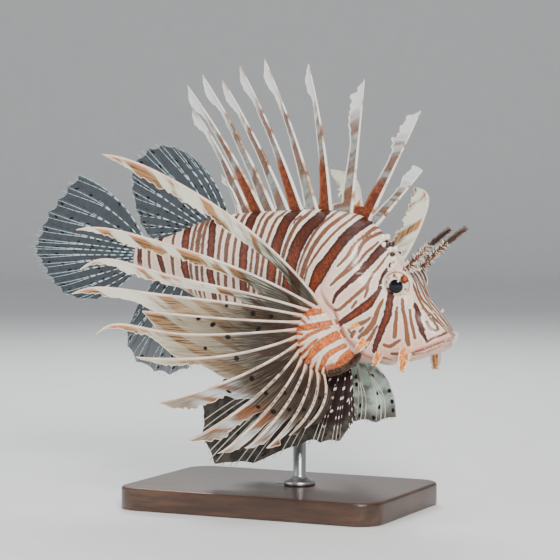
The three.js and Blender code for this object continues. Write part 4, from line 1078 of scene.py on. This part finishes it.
def skin_look(fine):
    """Cream and pink skin under red-brown bands, brown lines and the orange stripes of the base."""
    mottle, relief = group(fine)
    waver = (noise(330, 3) - 0.5) * 1.5 + (noise(900) - 0.5) * 0.7
    band, thin, orange, groove = field("band", "thin", "orange", "groove")
    band, thin, orange, groove = (mark + waver * much for mark, much in (
        (band, 1.0), (thin, 0.55), (orange, 0.8), (groove, 0.12)))
    back, up, gill, under, mouth = field("back", "up", "gill", "under", "mouth")

    nearest = maths("MINIMUM", maths("MINIMUM", band, thin), orange)
    pink = step(nearest, 0.5, 2.0) * 0.75 + step(noise(60), 0.4, 0.65) * 0.25
    chin, snout = step(back, 60, 30) * step(up, 6, -18), step(back, 14, 2) * step(up, 5, -2)
    # Pinkish brown along the lower edge of the gill cover: partly the rim's own colour, partly painted shade
    # along the edge.
    gill_rim_and_shade = step(abs(gill - 0.9), 2.0, 0.7) * step(up, 14, 2)
    ground = paint(
        mix(pink, "#f4e6d4", "#ecc6b4"), (chin * 0.55, "#ec9678"), (snout * 0.6, "#d49284"),
        (gill_rim_and_shade * 0.75, "#ba6858"), (step(mottle, 0.35, 0.8) * 0.16, "#b8846c"))

    low_down = step(up + noise(60) * 30, 66, 22)
    dark_rust, edge = mix(low_down, "#3a160b", "#602409"), mix(low_down, "#2e0f09", "#421409")
    rust = mix(step(mottle, 0.38, 0.7), mix(low_down, "#54250f", "#963f0b"), dark_rust)
    line = paint(
        mix(step(mottle, 0.36, 0.62), "#7e4210", "#502308"),
        (step(back, 100, 74), mix(step(thin, -0.1, -0.6), "#421b08", "#7e3e08")),
        (step(up, 22, 30) * step(back, 44, 36), "#38180f"))
    stripe = mix(step(orange, -0.2, -1.0), "#964006", "#e47004")
    worn = step(mottle, 0.4, 0.7)
    color = paint(
        ground, (step(thin, 0.35, -0.3) * 0.95, line),
        (step(band, 0.35, -0.35), mix(step(band, -0.5, -2.9), edge, rust)),
        (step(orange, 0.5, -0.5) * 0.96, mix(step(mottle, 0.4, 0.8), stripe, "#8a300a")),
        (step(groove, 0.24, 0.44) * 0.9, mix(worn, "#d66608", "#7c3208")),
        (step(groove, 0.56, 0.78), mix(worn, "#543e2c", "#241810")),
        (step(under, 0.16, 0.0) * 0.7, "#e0beaa"), (step(mouth, 0.75, 0.25) * 0.8, "#a85c4e"))
    surface(color, 0.34 + mottle * 0.22, relief, 0.32, coat=0.22, shine=0.35)


def eye_look():
    """A blue-black pupil in a white iris with brown marks. The marks lie in the plane across the pupil."""
    polar, across, upward = field("polar", "across", "upward")
    place = vector(across, upward)
    swirl = noise_at(place, 7, 3, 0.6) - 0.5
    iris = mix(step(noise_at(place, 14, 3), 0.5, 0.66), "#ece0ce", "#ceaa92")
    for x, y, size, color in EYE_MARKS:
        away = maths("SQRT", (across - x) ** 2.0 + (upward - y) ** 2.0) + swirl * 0.24
        iris = mix(step(away, size + 0.06, size - 0.06), iris, color)
    specks = step(noise_at(place, 22), 0.6, 0.66) * step(polar, 36, 44)
    ring = step(abs(polar - (EYE["pupil"] + 1.6)), 1.6, 0.5)
    pupil = step(polar + swirl * 1.6, EYE["pupil"] + 0.8, EYE["pupil"] - 0.8)
    color = paint(iris, (specks, "#784228"), (step(polar, 62, 76), "#784632"), (ring * 0.8, "#78604a"),
                  (pupil, "#020712"))
    surface(color, 0.14, coat=0.45, shine=0.15)


def shaft_look():
    """Shafts of the dorsal spines: white with tan stretches and brown marks."""
    reach, index = field("reach", "index")
    patch = noise_at(vector(reach * 5.0, index * 3.7), 1.6)
    color = paint("#f0eade", (step(patch, 0.5, 0.6), "#c49e7c"),
                  (step(patch, 0.57, 0.65) * step(reach, 0.8, 0.6), "#844e2e"))
    surface(color, 0.42, noise(1200), 0.2, coat=0.25)


def web_look():
    """Webs of the dorsal spines: grey, with brown bands from the body, brown patches and white ends."""
    reach, across, index, band = field("reach", "across", "index", "band")
    patch = noise_at(vector(reach * 4.4 + across * 0.2, index * 5.3), 1.5)
    tan = step(patch, 0.45, 0.56) * step(reach, 0.86, 0.6)
    brown = step(band + (noise(160, 3) - 0.5) * 3.4, 1.6, -1.8)
    color = paint(
        mix(step(noise(260, 3), 0.35, 0.65), "#707674", "#96968e"), (step(reach, 0.5, 0.76), "#d6dad8"),
        (tan * 0.9, mix(step(noise(420, 3), 0.4, 0.65), "#74482a", "#543422")),
        (brown, mix(step(noise(500, 3), 0.4, 0.65), "#582410", "#803c1a")),
        (step(across, 0.8, 0.94), mix(brown, "#e2dcd0", "#8c5032")))
    streaks = noise_at(vector(reach * 3.0, across * 14.0), 3)
    surface(color, 0.5, streaks, 0.25, alpha=0.88 + brown * 0.12, coat=0.08, shine=0.3)


def pectoral_look():
    """Upper blades pale with tan chevrons, lower ones dusky with a pale patch, dark near the body."""
    reach, across, index, edge, spot = field("reach", "across", "index", "edge", "spot")
    broad = noise_at(vector(reach * 0.052 + across * 0.085, index * 0.43), 1.15, 2.5)
    streak = noise_at(vector(reach * 0.035, across * 0.8, index), 1.6, 3)
    fine = noise_at(vector(reach * 0.05, across * 2.6, index), 1.6)
    lower, streaked = step(index, 6.4, 7.4), step(streak, 0.42, 0.6)

    tan = paint(mix(step(streak, 0.4, 0.62), "#a87a50", "#5c4226"),
                (step(across, 2.4, 1.2) * 0.8, "#ce7a50"))
    middle = step(reach, 112, 70) * step(index, 2.2, 3.3) * 0.75
    inner = mix(lower, mix(streaked, "#aa906e", "#58422c"), mix(streaked, "#8a7662", "#403228"))
    pale = step(reach, 40, 52) * step(reach, 82, 66) * lower * step(broad, 0.62, 0.4)
    rusty = step(broad, 0.5, 0.62) * lower * step(reach, 36, 48)
    near = step(reach + (streak - 0.5) * 90, 74, 26)
    root = step(reach + streak * 8, 12, 5) * 0.6
    color = paint(
        mix(lower, "#d8dac6", "#a49480"), (step(broad, 0.47, 0.56) * (1.0 - lower * 0.4), tan),
        (middle, inner), (pale, "#c4cccc"), (rusty * 0.7, "#96522a"),
        (near * 0.94, mix(step(streak, 0.4, 0.6), "#090503", "#2e1d12")),
        (step(fine, 0.56, 0.68) * (0.26 - near * 0.14), "#d6ccb4"),
        # The pale #e8d2c2 layer along each ray's front edge, where across is small, is a painted highlight.
        (step(fine, 0.42, 0.3) * 0.22, "#362a1e"), (step(across, 1.1, 0.6) * 0.7, "#e8d2c2"),
        (step(edge, 0.7, 0.25) * step(reach, 40, 66), "#e4ceb8"),
        (root, mix(step(across, 1.2, 2.2), "#d8b096", "#4a3426")), (step(spot, 0.5, -0.4), "#080404"))
    surface(color, 0.5, fine + streak, 0.4, alpha=0.98, coat=0.0, shine=0.15)


def ray_look():
    """Shafts of the pectoral rays: pinkish white, with tan stretches and, low down, dark beads."""
    reach, index = field("reach", "index")
    patch = noise_at(vector(reach * 0.07, index * 2.3), 1.0)
    bead = noise_at(vector(reach * 0.34, index * 5.3), 1.0, 1)
    lower = step(index, 6.5, 7.5)
    beads = step(bead, 0.5, 0.56) * step(reach, 66, 30) * lower
    color = paint("#f4e8da", (step(patch, 0.46, 0.6) * (0.35 + lower * 0.4), "#a06c4e"),
                  (beads * 0.85, "#4a3628"), (step(reach, 16, 4), "#eeccb8"))
    surface(color, 0.42, noise(1300), 0.15, coat=0.25)


def clear_web_look():
    """Webs of the soft fins: a dusky clear skin with paler veins and black spots."""
    spot, across = field("spot", "across")
    veins, mark = maths("COSINE", across * (2 * pi)) * 0.5, step(spot, 1.35, 0.9)
    color = paint(mix(step(noise(250, 3), 0.35, 0.7), "#181f27", "#2c363f"),
                  (step(veins, 0.3, 0.5), "#3e4c54"), (mark, "#060608"))
    surface(color, 0.5, alpha=maths("MAXIMUM", 0.84, mark), coat=0.05, shine=0.25)


def dashed_ray_look():
    """Rays of the soft fins: pale dashes, closer together far from the body."""
    reach, share = field("reach", "share")
    uneven = noise_at(vector(reach, share * 31), 1.3)
    dash = maths("SINE", reach * 11.0 + share * 60 + uneven * 6) + step(reach, 2.5, 5.5) * 0.7
    surface(mix(step(dash, -0.6, 0.1), "#4a585e", "#bed6dc"), 0.4, noise(1400), 0.1, coat=0.2)


def pelvic_web_look():
    """Outer face dusky, almost black maroon with white dots in front. Inner face pale with dark spots."""
    reach, across, share, spot, inner = field("reach", "across", "share", "spot", "inner")
    dark = step(share + (noise(120) - 0.5) * 0.16, 0.6, 0.42) * step(reach, 0.92, 0.74)
    dots = cells(vector(across * 0.9, reach * 6.0), 1.6)
    mark = step(spot, 1.5, 0.9)
    outer = paint(
        mix(step(noise(200, 3), 0.35, 0.65), "#322e2a", "#585046"), (dark, "#220b0a"),
        (step(dots, 0.2, 0.13) * dark, "#e8daca"), (mark * step(dark, 0.6, 0.2), "#0a0808"))
    clouds = noise_at(vector(across * 0.5, reach * 3.0), 1.5, 3)
    pale = paint(mix(step(clouds, 0.45, 0.62), "#becec4", "#767c70"), (step(reach, 0.72, 0.98), "#605c54"),
                 (mark, "#0a0808"))
    surface(mix(inner, outer, pale), 0.5, noise(700), 0.2, alpha=0.94, coat=0.05, shine=0.25)


def pelvic_ray_look():
    """Pale rays, but maroon with white beads on the outer face near the body and the leading edge."""
    reach, share, inner = field("reach", "share", "inner")
    patch = noise_at(vector(reach, share * 57), 0.8)
    bead = maths("SINE", reach * 11.0 + share * 90)
    dark = step(share, 0.6, 0.42) * step(reach, 4.9, 3.9) * step(inner, 0.6, 0.4)
    color = paint("#f0ece0", (step(patch, 0.52, 0.64), "#8c7662"),
                  (dark, mix(step(bead, 0.45, 0.75), "#30110e", "#f4ece0")))
    surface(color, 0.42, noise(1400), 0.1, coat=0.2)


def feeler_look():
    """A brown shaft with pale papillae and a dark feather at its end."""
    reach, lit = field("reach", "lit")
    color = paint(mix(step(noise(500, 3), 0.4, 0.6), "#3a1a0c", "#7a4222"),
                  (step(reach, 0.5, 0.66), "#241812"),
                  (step(lit + noise(400) * 0.3, 0.45, 0.8), "#e8dac4"))
    surface(color, 0.42, noise(1300), 0.25, coat=0.25)


def frond_look():
    """Leaves of skin with orange middles and pale knobbly edges."""
    lit = field("lit")
    color = paint(mix(step(noise(520, 3), 0.4, 0.6), "#ce7022", "#eca854"),
                  (step(lit + noise(400) * 0.2, 0.66, 0.98), "#faecd8"), (step(lit, -0.3, -0.7), "#341c12"))
    surface(color, 0.4, noise(1300), 0.25, coat=0.3)


def wood_look():
    """Dark stained hardwood with its grain along the base, under satin varnish."""
    along = stretched((0.12, 1.0, 1.0))
    grain, pores = noise_at(along, 190, 5, 0.65), step(noise_at(along, 900), 0.62, 0.72)
    color = paint(mix(step(grain, 0.35, 0.7), "#3e281b", "#5c3e2a"),
                  (step(noise_at(along, 28, 3), 0.4, 0.65) * 0.5, "#301e15"), (pores * 0.6, "#1e130e"))
    surface(color, 0.3 + grain * 0.18, grain - pores, 0.12, coat=0.25)


def steel_look():
    lines = noise_at(stretched((1.0, 1.0, 0.02)), 1500, 3)
    surface(mix(lines, "#b0b2b4", "#ced0d2"), 0.24 + lines * 0.16, lines, 0.05, coat=0.0, metal=1.0)


def floor_look():
    surface(mix(noise(40, 3), "#dee0e0", "#e6e7e7"), 0.7, coat=0.0)


# Stage, lights and camera

def place_object(name, data, at, towards):
    """A lamp or a camera that stands at a place and looks towards another."""
    made = bpy.data.objects.new(name, data)
    made.location = at
    made.rotation_mode = "QUATERNION"
    made.rotation_quaternion = (Vector(towards) - Vector(at)).to_track_quat("-Z", "Y")
    bpy.context.scene.collection.objects.link(made)
    return made


def area_light(name, at, size, power, color=(1, 1, 1)):
    data = bpy.data.lights.new(name, "AREA")
    data.shape, data.size, data.energy, data.color = "DISK", size, power, color
    place_object(name, data, at, LIGHTS_TOWARDS)


def make_camera():
    turn, rise = radians(CAMERA["azimuth"]), radians(CAMERA["elevation"])
    back = Vector((sin(turn) * cos(rise), -cos(turn) * cos(rise), sin(rise)))
    data = bpy.data.cameras.new("camera")
    data.lens, data.sensor_width = CAMERA["lens"], CAMERA["sensor"]
    data.clip_start, data.clip_end = 0.05, 20
    target = Vector(CAMERA["target"])
    bpy.context.scene.camera = place_object("camera", data, target + back * CAMERA["distance"], target)


def make_stage():
    """A pale floor that bends up into a wall behind, and four soft lamps."""
    near, wall, bend, rise = 3.2, 2.6, 0.35, 1.2
    rows = [(-near, 0.0), (wall, 0.0)]
    rows += [(wall + bend * sin(t), bend * (1 - cos(t))) for t in np.linspace(0.1, pi / 2, 14)]
    rows += [(wall + bend, rise + bend)]
    turn = radians(CAMERA["azimuth"])
    away, right = np.array([-sin(turn), cos(turn), 0]), np.array([cos(turn), sin(turn), 0])
    floor = Shape(place=np.asarray)
    floor.grid([[away * far + right * wide + (0, 0, high) for wide in np.linspace(-near, near, 9)]
                for far, high in rows])
    piece = floor.piece("floor", material("floor", floor_look))

    world = bpy.data.worlds.new("studio")
    world.use_nodes = True
    color, strength = world.node_tree.nodes["Background"].inputs[:2]
    color.default_value, strength.default_value = (0.93, 0.96, 1.0, 1), 0.36
    bpy.context.scene.world = world
    area_light("key", (0.75, -1.15, 0.95), 0.5, 29, (1.0, 0.98, 0.95))
    area_light("fill", (-1.1, -0.8, 0.5), 0.9, 4, (0.93, 0.97, 1.0))
    area_light("rim", (-0.5, 0.9, 1.0), 0.6, 12)
    area_light("top", (0.1, 0.0, 1.4), 0.8, 6)


def make_fish():
    fine = skin_group()
    make_skin(material("banded_skin", lambda: skin_look(fine)))
    eye = material("eye", eye_look)
    make_eye("eye_right", -1, eye)
    make_eye("eye_left", 1, eye)
    make_spiny_dorsal(material("spine_shaft", shaft_look), material("spine_web", web_look))
    clear, dashed = material("clear_web", clear_web_look), material("dashed_rays", dashed_ray_look)
    make_soft_fin("soft_dorsal_fin", SOFT_DORSAL, dashed, clear, 12, 3)
    make_soft_fin("anal_fin", ANAL, dashed, clear, 9, 4)
    make_soft_fin("caudal_fin", CAUDAL, dashed, clear, 14, 5)
    dusky, beaded = material("pelvic_web", pelvic_web_look), material("pelvic_rays", pelvic_ray_look)
    for side, fan, way in (("right", RIGHT_PELVIC, 1), ("left", LEFT_PELVIC, -1)):
        make_soft_fin("pelvic_fin_" + side, fan, beaded, dusky, 9, 6, lambda r: -7 - 0.17 * r, way)
    rays, webs = material("pectoral_rays", ray_look), material("pectoral_web", pectoral_look)
    make_pectoral("pectoral_fin_right", RIGHT_RAYS, rays, webs, -1)
    make_pectoral("pectoral_fin_left", LEFT_RAYS, rays, webs, 1)
    feeler, frond = material("feeler", feeler_look), material("frond", frond_look)
    for side, way, back in (("right", -1, 24), ("left", 1, 17)):
        make_tentacle("brow_tentacle_" + side, way, feeler)
        make_frond("mouth_frond_" + side, way, back, frond)
    make_bristles(frond)


make_camera()
make_fish()
make_stand(material("wood", wood_look), material("steel", steel_look))
make_stage()
